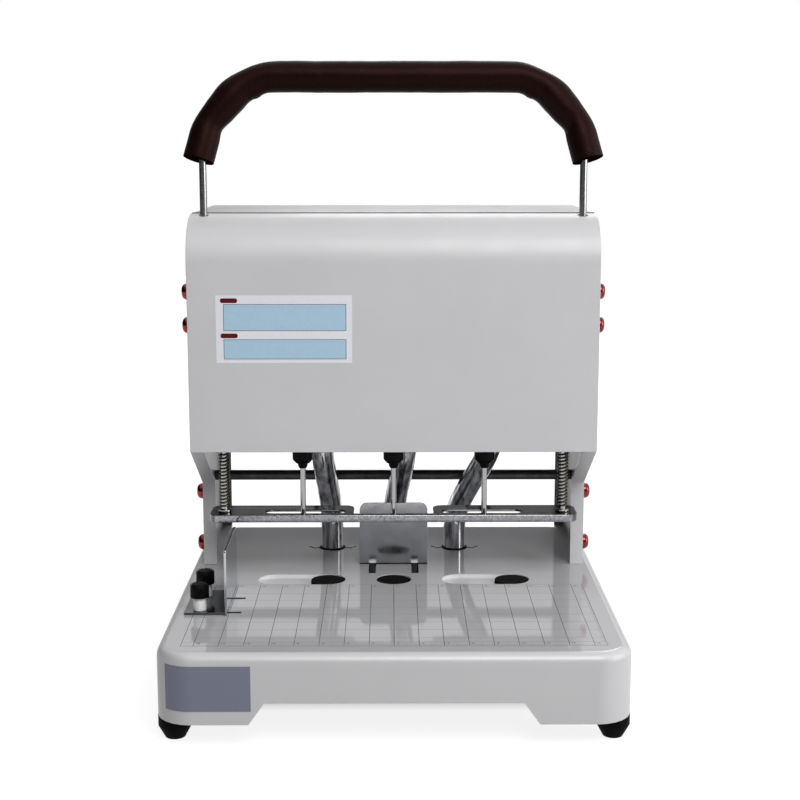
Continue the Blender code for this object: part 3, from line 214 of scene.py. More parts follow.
# %% [markdown]
# Studio light is soft and plain. A wide lamp over the camera lights the front, a lamp on the right gives
# the metal its bright edges, and a third lights the rear. A pale floor and world make the white background.

# %% Lamps, world and floor
# Each lamp has its place, its size in metres and its power in watts
LAMPS = {
    "key_lamp": ((0.5, -1.8, 2.0), 1.4, 43.0),
    "right_lamp": ((2.0, -0.7, 0.9), 1.2, 18.0),
    "back_lamp": ((0.3, 2.0, 1.6), 1.2, 11.0),
}
LAMP_TARGET = Vector((0.0, 0.0, 0.28))
WORLD_FILL = 0.34
MATT = 0.9
FLOOR_GREY = 0.35
FLOOR_WHITE = 0.9
FLOOR_SIZE = 8.0
FLOOR_LEVEL = -0.0005
GLOW_NEAR = 0.72
GLOW_LEVEL = 1.2
SHADOW_REACH = (0.35, 1.2)
SHADE_BLOCK = ((-0.195, -0.120, -1.0), (0.195, 0.205, 1.0))
SHADE_EDGE = 0.06


def add_lamp(name, place, size, power):
    """A square soft box that faces the head."""
    bpy.ops.object.light_add(type="AREA", location=place)
    lamp = bpy.context.object
    lamp.name = name
    lamp.data.size = size
    lamp.data.energy = power
    aim = LAMP_TARGET - Vector(place)
    lamp.rotation_euler = aim.to_track_quat("-Z", "Y").to_euler()


for name, settings in LAMPS.items():
    add_lamp(name, *settings)


def add_seen_mask(nodes, links):
    """One where a camera, mirror or glass ray looks, and none where plain light falls."""
    path = nodes.new("ShaderNodeLightPath")
    first = nodes.new("ShaderNodeMath")
    first.operation = "MAXIMUM"
    links.new(path.outputs["Is Camera Ray"], first.inputs[0])
    links.new(path.outputs["Is Glossy Ray"], first.inputs[1])
    second = nodes.new("ShaderNodeMath")
    second.operation = "MAXIMUM"
    links.new(first.outputs[0], second.inputs[0])
    links.new(path.outputs["Is Transmission Ray"], second.inputs[1])
    return second.outputs[0]


def make_floor_finish():
    """Paint that glows where it is looked at, less near the machine and not under it."""
    finish = Finish("floor_paint", (FLOOR_GREY, FLOOR_GREY, FLOOR_GREY), MATT)
    glow = finish.nodes.new("ShaderNodeEmission")
    glow.inputs["Strength"].default_value = GLOW_LEVEL
    looked_at = add_seen_mask(finish.nodes, finish.links)
    open_floor = finish.maths("SUBTRACT", 1.0, finish.inside_block(*SHADE_BLOCK, SHADE_EDGE))
    span = finish.nodes.new("ShaderNodeVectorMath")
    span.operation = "LENGTH"
    finish.links.new(finish.place, span.inputs[0])
    reach = finish.map_range(span.outputs["Value"], SHADOW_REACH, (GLOW_NEAR, 1.0))
    share = finish.maths("MULTIPLY", finish.maths("MULTIPLY", looked_at, open_floor), reach)
    tone = finish.maths("MULTIPLY_ADD", looked_at, FLOOR_WHITE - FLOOR_GREY)
    tone.node.inputs[2].default_value = FLOOR_GREY
    finish.links.new(tone, finish.shader.inputs["Base Color"])
    blend = finish.nodes.new("ShaderNodeMixShader")
    finish.links.new(share, blend.inputs["Fac"])
    finish.links.new(finish.shader.outputs[0], blend.inputs[1])
    finish.links.new(glow.outputs[0], blend.inputs[2])
    finish.links.new(blend.outputs[0], finish.nodes["Material Output"].inputs["Surface"])
    return finish.material


world = bpy.data.worlds.new("studio")
world.use_nodes = True
bpy.context.scene.world = world
sky = world.node_tree.nodes["Background"]
sky.inputs["Color"].default_value = (1.0, 1.0, 1.0, 1.0)
seen = add_seen_mask(world.node_tree.nodes, world.node_tree.links)
level = world.node_tree.nodes.new("ShaderNodeMapRange")
level.inputs["To Min"].default_value = WORLD_FILL
level.inputs["To Max"].default_value = 1.0
world.node_tree.links.new(seen, level.inputs["Value"])
world.node_tree.links.new(level.outputs["Result"], sky.inputs["Strength"])

bpy.ops.mesh.primitive_plane_add(size=FLOOR_SIZE, location=(0.0, 0.0, FLOOR_LEVEL))
floor = bpy.context.object
floor.name = "studio_floor"
floor.data.materials.append(make_floor_finish())
print("floor and", len(LAMPS), "lamps")

# %% [markdown]
# A studio keeps dark cloth round the set. Bright metal and the glossy base top mirror it, which gives
# them their dark bands. The right side is left open and bright, and light spills on the upper part of the
# rear cloth, which the front of the base top mirrors. The cloth is hidden from the camera itself.

# %% Dark cloth in front, behind and on the left
CLOTH_DISTANCE = 3.2
CLOTH_SIZE = 6.4
CLOTH_GREYS = {"front_cloth": 0.08, "rear_cloth": 0.06, "left_cloth": 0.03}
SPILL_HEIGHTS = (-0.70, -0.50)
SPILL_LEVELS = (0.05, 0.66)
for name, turn in (("front_cloth", -90), ("rear_cloth", 90), ("left_cloth", 180)):
    angle = math.radians(turn)
    place = (CLOTH_DISTANCE * math.cos(angle), CLOTH_DISTANCE * math.sin(angle), CLOTH_SIZE / 4)
    upright = (math.pi / 2, 0.0, angle + math.pi / 2)
    bpy.ops.mesh.primitive_plane_add(size=CLOTH_SIZE, location=place, rotation=upright)
    cloth = bpy.context.object
    cloth.name = name
    tone = CLOTH_GREYS[name]
    weave = Finish(name, (tone, tone, tone), MATT)
    weave.set("Emission Color", (1.0, 1.0, 1.0, 1.0))
    weave.set("Emission Strength", tone)
    if name == "rear_cloth":
        parts = weave.nodes.new("ShaderNodeSeparateXYZ")
        weave.links.new(weave.place, parts.inputs["Vector"])
        spill = weave.map_range(parts.outputs["Y"], SPILL_HEIGHTS, SPILL_LEVELS)
        weave.links.new(spill, weave.shader.inputs["Emission Strength"])
    cloth.data.materials.append(weave.material)
    cloth.visible_camera = False
print("cloth at", CLOTH_DISTANCE)

# %% [markdown]
# The painted sheet is a light grey gloss enamel. Sprayed paint dries with a fine orange peel, and hands
# leave it a little duller in patches. The base top is covered with a clear film, so it mirrors the hoses.
# Its long recesses have painted light, their walls painted whiter as if lit from the front, and painted
# shade darkens the base's hollow inside and its slots.

# %% Paint finishes
ENAMEL_GREY = (0.62, 0.62, 0.632)
BASE_GREY = (0.59, 0.59, 0.602)
FILM_WHITE = (0.50, 0.50, 0.52, 1.0)
FILM_BLOCK = ((-0.1825, -0.1925, 0.0766), (0.1825, 0.1925, 0.080))
# Painted shade: blocks where the hollow inside of the base and its slots are painted dark
INSIDE_SHADE_BLOCKS = (
    ((-0.155, -0.1985, 0.0), (0.155, 0.1985, 0.0705)),
    ((-0.025, 0.023, 0.0), (0.025, 0.077, 0.0765)),
    ((-0.1715, -0.096, 0.0), (-0.1285, -0.048, 0.0765)),
)
PAINTED_SHADE_DARK = (0.02, 0.02, 0.022, 1.0)
# Painted light: the recess walls are painted whiter, as if lit from the front
RECESS_WALLS = ((-0.126, -0.013, 0.0733), (0.126, 0.023, 0.0766))
RECESS_PAINTED_LIGHT = (0.78, 0.78, 0.80, 1.0)
# Painted shade: blocks inside the head and between the posts, under the head, are painted darker
HEAD_INSIDES = (
    ((-0.1785, -0.0262, 0.2030), (0.1785, 0.1942, 0.3650)),
    ((-0.1785, 0.0168, 0.3600), (0.1785, 0.1850, 0.4075)),
)
POST_INSIDE = ((-0.1765, 0.0545, 0.0), (0.1765, 0.1945, 0.2030))
POST_SHADE_GREY = (0.36, 0.36, 0.37, 1.0)
SIDE_ROUGHNESS = 0.34
FILM_SMOOTHING = 0.31


def make_enamel():
    """Enamel for the head, with painted shade: darker on the frames between the posts, and dark inside the
    covers.
    """
    finish = Finish("grey_enamel", ENAMEL_GREY, 0.34)
    finish.vary_colour(finish.noise(14.0), 0.975, 1.02)
    finish.cover_colour(finish.inside_block(*POST_INSIDE), POST_SHADE_GREY)
    for block in HEAD_INSIDES:
        finish.cover_colour(finish.inside_block(*block), PAINTED_SHADE_DARK)
    finish.vary_roughness(finish.noise(40.0), 0.28, 0.40)
    finish.bump(finish.noise(620.0, detail=1.0), 0.00004, 0.35)
    finish.set("Specular IOR Level", 0.4)
    return finish.material


def darken_inside(finish):
    """Painted shade: the hollow inside of the base and its slots are painted dark."""
    inside = None
    for low, high in INSIDE_SHADE_BLOCKS:
        mask = finish.inside_block(low, high)
        inside = mask if inside is None else finish.maths("MAXIMUM", inside, mask)
    finish.cover_colour(inside, PAINTED_SHADE_DARK)


def make_base_enamel():
    """Enamel whose level top is glossier than its sides."""
    finish = Finish("grey_enamel_with_film", BASE_GREY, 0.3)
    finish.vary_colour(finish.noise(11.0), 0.97, 1.02)
    on_top = finish.inside_block(*FILM_BLOCK)
    finish.cover_colour(on_top, FILM_WHITE)
    # Painted light on the recess walls
    finish.cover_colour(finish.inside_block(*RECESS_WALLS), RECESS_PAINTED_LIGHT)
    darken_inside(finish)
    smoothing = finish.maths("MULTIPLY", on_top, FILM_SMOOTHING)
    gloss = finish.maths("SUBTRACT", SIDE_ROUGHNESS, smoothing)
    smudge = finish.between(finish.noise(30.0), 0.0, 0.04)
    finish.links.new(finish.maths("ADD", gloss, smudge), finish.shader.inputs["Roughness"])
    finish.bump(finish.noise(520.0, detail=1.0), 0.00003, 0.25)
    finish.set("Specular IOR Level", 0.9)
    return finish.material


enamel = make_enamel()
base_enamel = make_base_enamel()
print("paint:", enamel.name, base_enamel.name)

# %% [markdown]
# The loose metal is of several kinds. Galvanised sheet shows zinc crystals, with painted shade on the
# stop's tabs in their slots and a darker foot on the guide. The clamp plate's zinc is darkened as a painted
# dark reflection, with painted glints along its front edge. Turned rods are bright with faint rings, and the
# springs are passivated to a straw yellow. The screws are dyed red, under a thin oxide.

# %% Metal finishes
ZINC_GREY = (0.48, 0.49, 0.51)
# A darker zinc tone for the side guide's foot
DARK_FOOT_ZINC = (0.17, 0.175, 0.185, 1.0)
# Painted shade: the stop's tabs are painted dark where they sit down in their slots
STOP_TABS = ((-0.040, 0.040, 0.050), (0.040, 0.090, 0.0784))
GUIDE_FOOT = ((-0.185, -0.110, 0.050), (-0.1425, -0.010, 0.0805))
# The plate's zinc is darkened as a painted reflection, and its front edge gets painted glints
DARKENED_PLATE_GREY = (0.10, 0.104, 0.112)
EDGE_GLINT_GREY = (0.36, 0.365, 0.38, 1.0)
GLINT_DEPTH = 0.0010


def make_grained(name, colour, roughness, metallic=0.0, tone=None, gloss=None, relief=None, extras=None):
    """A finish with even grain. Tone, gloss and relief are each a noise's scale and two amounts."""
    finish = Finish(name, colour, roughness, metallic)
    if tone:
        finish.vary_colour(finish.noise(tone[0]), *tone[1:])
    if gloss:
        finish.vary_roughness(finish.noise(gloss[0]), *gloss[1:])
    if relief:
        finish.bump(finish.noise(relief[0]), *relief[1:])
    for socket, value in (extras or {}).items():
        finish.set(socket, value)
    return finish.material


def make_zinc(name, block, block_colour):
    """Zinc with its crystals. A block of it is painted darker: painted shade on the stop's tabs in their
    slots, and a darker foot on the guide.
    """
    finish = Finish(name, ZINC_GREY, 0.22, 1.0)
    spangle = finish.cells(110.0, "Color")
    grey = finish.nodes.new("ShaderNodeRGBToBW")
    finish.links.new(spangle, grey.inputs["Color"])
    finish.vary_colour(grey.outputs["Val"], 0.95, 1.04)
    finish.cover_colour(finish.inside_block(*block), block_colour)
    finish.vary_roughness(finish.noise(90.0), 0.10, 0.20)
    finish.bump(finish.noise(180.0), 0.00001, 0.12)
    return finish.material


def make_plate_zinc():
    """Zinc with long roller marks, darkened as a painted reflection. Its front edge has speckled painted
    glints.
    """
    finish = Finish("zinc_with_painted_reflection", DARKENED_PLATE_GREY, 0.16, 1.0)
    rolled = finish.noise(26.0, detail=5.0, stretch=(1.0, 6.0, 14.0))
    finish.vary_colour(rolled, 0.55, 1.6)
    low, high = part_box("clamp_plate")
    around = Vector((GLINT_DEPTH, GLINT_DEPTH, GLINT_DEPTH))
    front = finish.inside_block(low - around, Vector((high.x, low.y, high.z)) + around)
    # Painted glints speckled along the front edge
    glint = finish.between(finish.noise(620.0, detail=1.0), 0.3, 1.0)
    finish.cover_colour(finish.maths("MULTIPLY", front, glint), EDGE_GLINT_GREY)
    finish.vary_roughness(finish.noise(70.0), 0.08, 0.22)
    finish.bump(rolled, 0.00002, 0.3)
    return finish.material


def make_bright_steel():
    finish = Finish("bright_steel", (0.36, 0.36, 0.37), 0.14, 1.0)
    rings = finish.noise(60.0, detail=2.0, stretch=(1.0, 1.0, 40.0))
    finish.vary_roughness(rings, 0.10, 0.22)
    finish.bump(rings, 0.00001, 0.25)
    return finish.material


# The stop gets painted shade on its tabs, and the guide a darker foot
stop_zinc = make_zinc("galvanised_stop", STOP_TABS, PAINTED_SHADE_DARK)
guide_zinc = make_zinc("galvanised_guide", GUIDE_FOOT, DARK_FOOT_ZINC)
plate_zinc = make_plate_zinc()
bright_steel = make_bright_steel()
dark_steel = make_grained(
    "blackened_steel", (0.12, 0.12, 0.128), 0.35, 0.8, tone=(90.0, 0.8, 1.2), gloss=(300.0, 0.32, 0.48)
)
spring_zinc = make_grained(
    "straw_zinc", (0.10, 0.084, 0.048), 0.28, 1.0, tone=(240.0, 0.75, 1.15), gloss=(500.0, 0.2, 0.4)
)
red_dye = make_grained(
    "red_anodised",
    (0.19, 0.010, 0.014),
    0.2,
    1.0,
    tone=(300.0, 0.8, 1.15),
    gloss=(900.0, 0.14, 0.26),
    extras={"Coat Weight": 0.6, "Coat Roughness": 0.12},
)
casing = make_grained(
    "cast_casing", (0.20, 0.205, 0.215), 0.45, 0.7, tone=(60.0, 0.85, 1.1), relief=(1100.0, 0.00006, 0.5)
)
print("metal:", stop_zinc.name, bright_steel.name, spring_zinc.name, red_dye.name, casing.name)

# %% [markdown]
# Black plastic is moulded with a fine spark texture. Rubber is duller, with bloom on its surface. The
# grip is closed-cell foam, whose cut cells make pits about a millimetre wide.

# %% Plastic, rubber and foam finishes


def make_foam():
    finish = Finish("brown_foam", (0.0062, 0.0018, 0.0016), 0.45)
    finish.set("IOR", 1.2)
    finish.set("Specular Tint", (1.0, 0.5, 0.45, 1.0))
    finish.vary_colour(finish.noise(420.0, detail=4.0), 0.7, 1.35)
    finish.vary_roughness(finish.noise(700.0), 0.36, 0.5)
    finish.bump(finish.cells(1000.0), 0.00016, 0.5)
    finish.bump(finish.noise(70.0), 0.0005, 0.3)
    finish.set("Sheen Weight", 0.008)
    finish.set("Sheen Roughness", 0.4)
    return finish.material


def make_cut_foam():
    """The open cells of a cut end swallow the light."""
    finish = Finish("cut_foam", (0.0075, 0.0026, 0.0022), 0.95)
    finish.set("Specular IOR Level", 0.0)
    finish.vary_colour(finish.cells(900.0), 0.6, 1.5)
    finish.bump(finish.cells(900.0), 0.0003, 0.6)
    return finish.material


def make_hose_skin():
    finish = Finish("glossy_hose", (0.50, 0.505, 0.525), 0.18, 0.9)
    finish.vary_colour(finish.noise(210.0, stretch=(1.0, 1.0, 0.09)), 0.22, 1.6)
    finish.vary_roughness(finish.noise(120.0), 0.08, 0.20)
    finish.bump(finish.noise(80.0, detail=2.0, stretch=(1.0, 1.0, 0.2)), 0.0007, 0.4)
    return finish.material


black_plastic = make_grained(
    "black_moulding",
    (0.0025, 0.0025, 0.003),
    0.42,
    gloss=(160.0, 0.30, 0.46),
    relief=(1900.0, 0.00005, 0.4),
    extras={"IOR": 1.17},
)
rubber = make_grained(
    "black_rubber",
    (0.0025, 0.0025, 0.0025),
    0.68,
    tone=(120.0, 0.7, 1.6),
    relief=(900.0, 0.00008, 0.5),
    extras={"IOR": 1.15},
)
foam = make_foam()
cut_foam = make_cut_foam()
hose_skin = make_hose_skin()
white_nylon = make_grained(
    "white_nylon",
    (0.84, 0.86, 0.85),
    0.42,
    tone=(200.0, 0.95, 1.03),
    relief=(800.0, 0.00004, 0.3),
    extras={"Subsurface Weight": 0.08, "Subsurface Radius": (0.002, 0.002, 0.002)},
)
print("soft:", black_plastic.name, rubber.name, foam.name, hose_skin.name, white_nylon.name)

# %% [markdown]
# Print and stickers are thin films. Their ink is a little uneven, and they are glossier than the paint.

# %% Ink and sticker finishes


def make_film(name, colour, roughness, shine=0.5):
    gloss = (500.0, roughness * 0.95, roughness * 1.05)
    extras = {"Specular IOR Level": shine}
    return make_grained(name, colour, roughness, tone=(400.0, 0.98, 1.02), gloss=gloss, extras=extras)


ink = make_film("grid_ink", (0.10, 0.10, 0.115), 0.25)
faint_ink = make_film("faint_ink", (0.30, 0.30, 0.32), 0.25)
label_white = make_film("label_white", (0.82, 0.83, 0.88), 0.3)
label_blue = make_film("label_blue", (0.43, 0.61, 0.77), 0.3)
label_red = make_film("label_red", (0.10, 0.006, 0.010), 0.3, 0.15)
sticker_blue = make_film("sticker_blue_grey", (0.175, 0.19, 0.26), 0.3)
print("films:", ink.name, label_white.name, label_blue.name, sticker_blue.name)

# %% [markdown]
# The solids keep their shape and take these finishes. Real sheet has a small radius on every edge,
# which catches the light, so each solid also gets a live weld and a fine bevel on its sharp edges.

# %% Dress the solids
EDGE_ANGLE = math.radians(32)
WELD_REACH = 0.00001
FLAT_ANGLE = math.radians(0.5)
SHEET_EDGE = 0.0005
PLATE_EDGE = 0.0009
SMALL_EDGE = 0.0003
EDGE_WIDTHS = {enamel: SHEET_EDGE, base_enamel: SHEET_EDGE, plate_zinc: PLATE_EDGE}

NODE_FINISHES = {
    "side_frame": enamel,
    "front_cover": enamel,
    "top_rear_cover": enamel,
    "base_housing": base_enamel,
    "foot": rubber,
    "cutting_pad": rubber,
    "chip_tray": black_plastic,
    "rear_tie_rod": dark_steel,
    "switch": black_plastic,
    "power_inlet": black_plastic,
    "chuck": black_plastic,
    "lower_cross_beam": bright_steel,
    "upper_cross_beam": bright_steel,
    "guide_column": bright_steel,
    "yoke": bright_steel,
    "handle_bail": bright_steel,
    "drill": bright_steel,
    "clamp_rod": bright_steel,
    "clamp_plate": plate_zinc,
    "back_stop": stop_zinc,
    "side_guide": guide_zinc,
    "spindle_motor": casing,
}


def add_modifier(piece, name, kind, **settings):
    step = piece.modifiers.new(name, kind)
    for setting, value in settings.items():
        setattr(step, setting, value)


def add_bevel(piece, width, segments=2):
    """Round the sharp edges of a piece."""
    limits = {"limit_method": "ANGLE", "angle_limit": EDGE_ANGLE}
    add_modifier(piece, "round", "BEVEL", width=width, segments=segments, **limits)


def soften_edges(node, width):
    """Weld the loose triangles and round the sharp edges, as live modifiers."""
    for face in node.data.polygons:
        face.use_smooth = True
    add_modifier(node, "weld", "WELD", merge_threshold=WELD_REACH)
    add_modifier(node, "flat faces", "DECIMATE", decimate_type="DISSOLVE", angle_limit=FLAT_ANGLE)
    add_bevel(node, width)
    add_modifier(node, "flat light", "WEIGHTED_NORMAL", mode="FACE_AREA", weight=100)


def dress_solids():
    dressed = 0
    for name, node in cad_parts.items():
        for start, finish in NODE_FINISHES.items():
            if not name.startswith(start):
                continue
            node.data.materials.clear()
            node.data.materials.append(finish)
            soften_edges(node, EDGE_WIDTHS.get(finish, SMALL_EDGE))
            dressed += 1
    return dressed


print("dressed", dress_solids(), "solids")

# %% [markdown]
# New pieces are modelled by hand: a primitive at its size, shaped in edit mode, then its place is
# applied so that the object sits at the origin. These helpers do the repeated moves.

# %% Modelling helpers
SIDES = ("left", "centre", "right")
UPRIGHT = 0.9
SIDEWAYS = 0.1


def start_alone():
    bpy.ops.object.select_all(action="DESELECT")


def make_active(piece):
    start_alone()
    piece.select_set(True)
    bpy.context.view_layer.objects.active = piece


def edit_whole(piece):
    """Enter edit mode with all of a piece selected."""
    make_active(piece)
    bpy.ops.object.mode_set(mode="EDIT")
    bpy.ops.mesh.select_all(action="SELECT")


def looks_up(face):
    return face.normal.z > UPRIGHT


def looks_down(face):
    return face.normal.z < -UPRIGHT


def looks_sideways(face):
    return abs(face.normal.z) < SIDEWAYS


def pick_faces(piece, wanted):
    """Select the faces that pass a test, and enter edit mode."""
    make_active(piece)
    bpy.ops.object.mode_set(mode="EDIT")
    bpy.ops.mesh.select_mode(type="FACE")
    bpy.ops.mesh.select_all(action="DESELECT")
    bpy.ops.object.mode_set(mode="OBJECT")
    for face in piece.data.polygons:
        face.select = wanted(face)
    bpy.ops.object.mode_set(mode="EDIT")


def leave_edit():
    bpy.ops.object.mode_set(mode="OBJECT")


def apply_all(piece):
    """Apply the modifiers and the place, and leave the object at the origin."""
    make_active(piece)
    for step in list(piece.modifiers):
        bpy.ops.object.modifier_apply(modifier=step.name)
    bpy.ops.object.transform_apply(location=True, rotation=True, scale=True)


def shade(piece, angle=35):
    make_active(piece)
    bpy.ops.object.shade_smooth_by_angle(angle=math.radians(angle))


def settle(piece, name, material, body):
    """Name a finished piece, give it its finish and let it ride on a body."""
    piece.name = name
    piece.data.name = name
    piece.data.materials.clear()
    piece.data.materials.append(material)
    if body:
        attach(piece, body)
    return piece


def add_bar(low, high):
    """A block between two corners."""
    start_alone()
    middle = (Vector(low) + Vector(high)) / 2
    bpy.ops.mesh.primitive_cube_add(size=1.0, location=middle)
    bar = bpy.context.object
    bar.scale = Vector(high) - Vector(low)
    bpy.ops.object.transform_apply(location=True, rotation=True, scale=True)
    return bar


def add_cylinder(place, radius, low, high, faces=32):
    """An upright cylinder between two heights."""
    start_alone()
    middle = (place.x, place.y, (low + high) / 2)
    bpy.ops.mesh.primitive_cylinder_add(vertices=faces, radius=radius, depth=high - low, location=middle)
    bpy.ops.object.transform_apply(location=True, rotation=True, scale=True)
    return bpy.context.object


def extrude(move):
    bpy.ops.mesh.extrude_region_move(TRANSFORM_OT_translate={"value": move})


def draw_in(place, share):
    """Repeat the selected face where it is, and shrink it about an upright axis."""
    extrude((0.0, 0.0, 0.0))
    bpy.ops.transform.resize(value=(share, share, 1.0), center_override=tuple(place))


def press_in(piece, every, rim, depth):
    """Push in some of the side faces, counted off, each inside a thin rim."""
    pick_faces(piece, lambda face: looks_sideways(face) and face.index % every == 0)
    bpy.ops.mesh.inset(thickness=rim, use_individual=True)
    bpy.ops.transform.shrink_fatten(value=-depth)
    leave_edit()


def cut_away(piece, tool):
    """Cut a tool's shape out of a piece, and take the tool away."""
    add_modifier(piece, "cut", "BOOLEAN", operation="DIFFERENCE", solver="EXACT", object=tool)
    apply_all(piece)
    bpy.data.objects.remove(tool)


def complete(piece, name, material, body, rounding=0.0, segments=2, angle=35):
    """Round a modelled piece where it is asked for, then apply, shade and settle it."""
    if rounding:
        add_bevel(piece, rounding, segments)
    apply_all(piece)
    shade(piece, angle)
    settle(piece, name, material, body)


def join_pieces(pieces):
    make_active(pieces[0])
    for piece in pieces:
        piece.select_set(True)
    bpy.ops.object.join()
    return bpy.context.object


def copy_piece(piece):
    copied = piece.copy()
    copied.data = piece.data.copy()
    bpy.context.scene.collection.objects.link(copied)
    return copied


def move_points(piece, place):
    """Move every point of a piece by a rule."""
    for point in piece.data.vertices:
        point.co = place(point.co)
    piece.data.update()


def rod_along(points, radius, roundness, capped=True, girths=None):
    """A round rod along a path, made as a curve and then turned into a mesh."""
    start_alone()
    curve = bpy.data.curves.new("path", "CURVE")
    curve.dimensions = "3D"
    curve.bevel_depth = radius
    curve.bevel_resolution = roundness
    curve.use_fill_caps = capped
    spline = curve.splines.new("POLY")
    spline.points.add(len(points) - 1)
    for number, place in enumerate(points):
        spline.points[number].co = (*place, 1.0)
        if girths:
            spline.points[number].radius = girths[number]
    made = bpy.data.objects.new("path", curve)
    bpy.context.scene.collection.objects.link(made)
    make_active(made)
    bpy.ops.object.convert(target="MESH")
    piece = bpy.context.object
    edit_whole(piece)
    bpy.ops.mesh.remove_doubles(threshold=WELD_REACH)
    bpy.ops.mesh.normals_make_consistent(inside=False)
    leave_edit()
    return piece


def middle_of(node):
    low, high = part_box(node)
    return (low + high) / 2


def ease(share):
    """A share from none to one that starts and ends gently."""
    return share * share * (3 - 2 * share)


print("modelling helpers ready")

# %% [markdown]
# The foam sleeve is one soft tube on the bail. It leans back from its cut ends, turns over each
# shoulder and runs straight along the bar. A curve gives the turn, a wall thickness opens the bore at its
# ends, and a small displacement makes the foam uneven. The finished tube is cut level across both arms,
# into its bar and its two lower lengths, and both pieces ride with the carriage.

# %% Foam grip
GRIP_RADIUS = 0.01375
GRIP_BORE = 0.0038
BAR_PLACE = Vector((0.127, 0.022, 0.5277))
KNEE_PLACE = Vector((0.1622, 0.0135, 0.4865))
END_PLACE = Vector((0.1700, 0.006, 0.456))
SHOULDER_BEND = 0.040
KNEE_BEND = 0.035
GRIP_STEP = 0.004
SLEEVE_TOP = 0.503
SHOULDER_STEPS = 12
KNEE_STEPS = 6
GRIP_ROUNDNESS = 14
GRIP_SHADE = 50
END_ROUNDING = 0.0016
END_FACING = -0.5
WAVE_SIZE = 0.022
WAVE_DEPTH = 0.0008
END_HEIGHT = 0.006
CREASE_FILL = 0.0030
CREASE_REACH = 0.0130
THIN_DEPTH = 0.0026
THIN_LENGTH = 0.024
GIRTH_STEPS = ((0.0, 1.0), (0.020, 0.99), (0.035, 0.92), (0.052, 1.02), (0.064, 1.07), (0.085, 1.0))


def arc_points(before, corner, after, radius, steps):
    """A fillet between two straight runs."""
    back = (before - corner).normalized()
    ahead = (after - corner).normalized()
    half = back.angle(ahead) / 2
    centre = corner + (back + ahead).normalized() * radius / math.sin(half)
    reach = radius / math.tan(half)
    first = corner + back * reach - centre
    last = corner + ahead * reach - centre
    return [centre + first.slerp(last, step / steps).normalized() * radius for step in range(steps + 1)]


def even_path(points, step):
    """The same path with points at even distances."""
    lengths = [0.0]
    for first, second in zip(points, points[1:]):
        lengths.append(lengths[-1] + (second - first).length)
    count = max(2, round(lengths[-1] / step))
    path = []
    index = 0
    for number in range(count + 1):
        wanted = lengths[-1] * number / count
        while index < len(points) - 2 and lengths[index + 1] < wanted:
            index += 1
        share = (wanted - lengths[index]) / (lengths[index + 1] - lengths[index])
        path.append(points[index].lerp(points[index + 1], share))
    return path


def grip_path():
    mirror = Vector((-1.0, 1.0, 1.0))
    bar_end = BAR_PLACE * mirror
    right = arc_points(bar_end, BAR_PLACE, KNEE_PLACE, SHOULDER_BEND, SHOULDER_STEPS)
    right += arc_points(BAR_PLACE, KNEE_PLACE, END_PLACE, KNEE_BEND, KNEE_STEPS)
    right.append(END_PLACE)
    left = [point * mirror for point in reversed(right)]
    return even_path(left + right, GRIP_STEP)


def grip_girth(distance):
    """How full the foam is at a distance from its end. It swells below the shoulder and thins at the knee."""
    for (near, first), (far, second) in zip(GIRTH_STEPS, GIRTH_STEPS[1:]):
        if distance < far:
            return first + (second - first) * ease((distance - near) / (far - near))
    return 1.0


def squeeze_shoulder(point):
    """Foam piles up into a crease on the inside of the shoulder and thins on its outside."""
    sign = -1.0 if point.x < 0 else 1.0
    place = Vector((abs(point.x), point.y, point.z))
    back = Vector((-1.0, 0.0, 0.0))
    ahead = (KNEE_PLACE - BAR_PLACE).normalized()
    inward = (back + ahead).normalized()
    half = back.angle(ahead) / 2
    bend_middle = BAR_PLACE + inward * SHOULDER_BEND * (1 / math.sin(half) - 1)
    offset = place - bend_middle
    depth = offset.dot(inward) / GRIP_RADIUS
    along = offset.dot((ahead - back).normalized())
    if depth > 0:
        move = CREASE_FILL * depth * max(0.0, 1 - abs(along) / CREASE_REACH) ** 2
    else:
        move = -THIN_DEPTH * depth * math.exp(-((along / THIN_LENGTH) ** 2))
    place += inward * move
    return Vector((sign * place.x, place.y, place.z))


def keep_level(piece, above):
    """Cut a piece level at the top of the lower sleeves, close the cut and keep one side."""
    edit_whole(piece)
    cut = {"plane_co": (0.0, 0.0, SLEEVE_TOP), "plane_no": (0.0, 0.0, 1.0)}
    bpy.ops.mesh.bisect(**cut, use_fill=True, clear_inner=above, clear_outer=not above)
    leave_edit()


def dress_foam(piece, name):
    shade(piece, GRIP_SHADE)
    settle(piece, name, foam, "carriage")
    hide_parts("handle_grip")


def make_grip():
    path = grip_path()
    last = len(path) - 1
    girths = [grip_girth(min(index, last - index) * GRIP_STEP) for index in range(last + 1)]
    grip = rod_along(path, GRIP_RADIUS, GRIP_ROUNDNESS, capped=False, girths=girths)
    move_points(grip, squeeze_shoulder)
    add_modifier(grip, "foam wall", "SOLIDIFY", thickness=GRIP_RADIUS - GRIP_BORE, offset=-1.0)
    add_bevel(grip, END_ROUNDING, 3)
    waves = bpy.data.textures.new("foam_waves", "CLOUDS")
    waves.noise_scale = WAVE_SIZE
    add_modifier(grip, "uneven foam", "DISPLACE", texture=waves, texture_coords="LOCAL", strength=WAVE_DEPTH)
    apply_all(grip)
    sleeves = copy_piece(grip)
    keep_level(grip, True)
    keep_level(sleeves, False)
    dress_foam(grip, "foam_grip")
    dress_foam(sleeves, "foam_sleeves")
    sleeves.data.materials.append(cut_foam)
    for face in sleeves.data.polygons:
        on_end = face.normal.z < END_FACING and face.center.z < END_PLACE.z + END_HEIGHT
        face.material_index = 1 if on_end else 0
    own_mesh(sleeves)
    return grip, sleeves


print("grip faces", [len(piece.data.polygons) for piece in make_grip()])

# %% [markdown]
# A coil spring is a helix of wire. The clamp springs sit on their rods above the clamp plate, and the
# return springs sit on the columns inside the head.

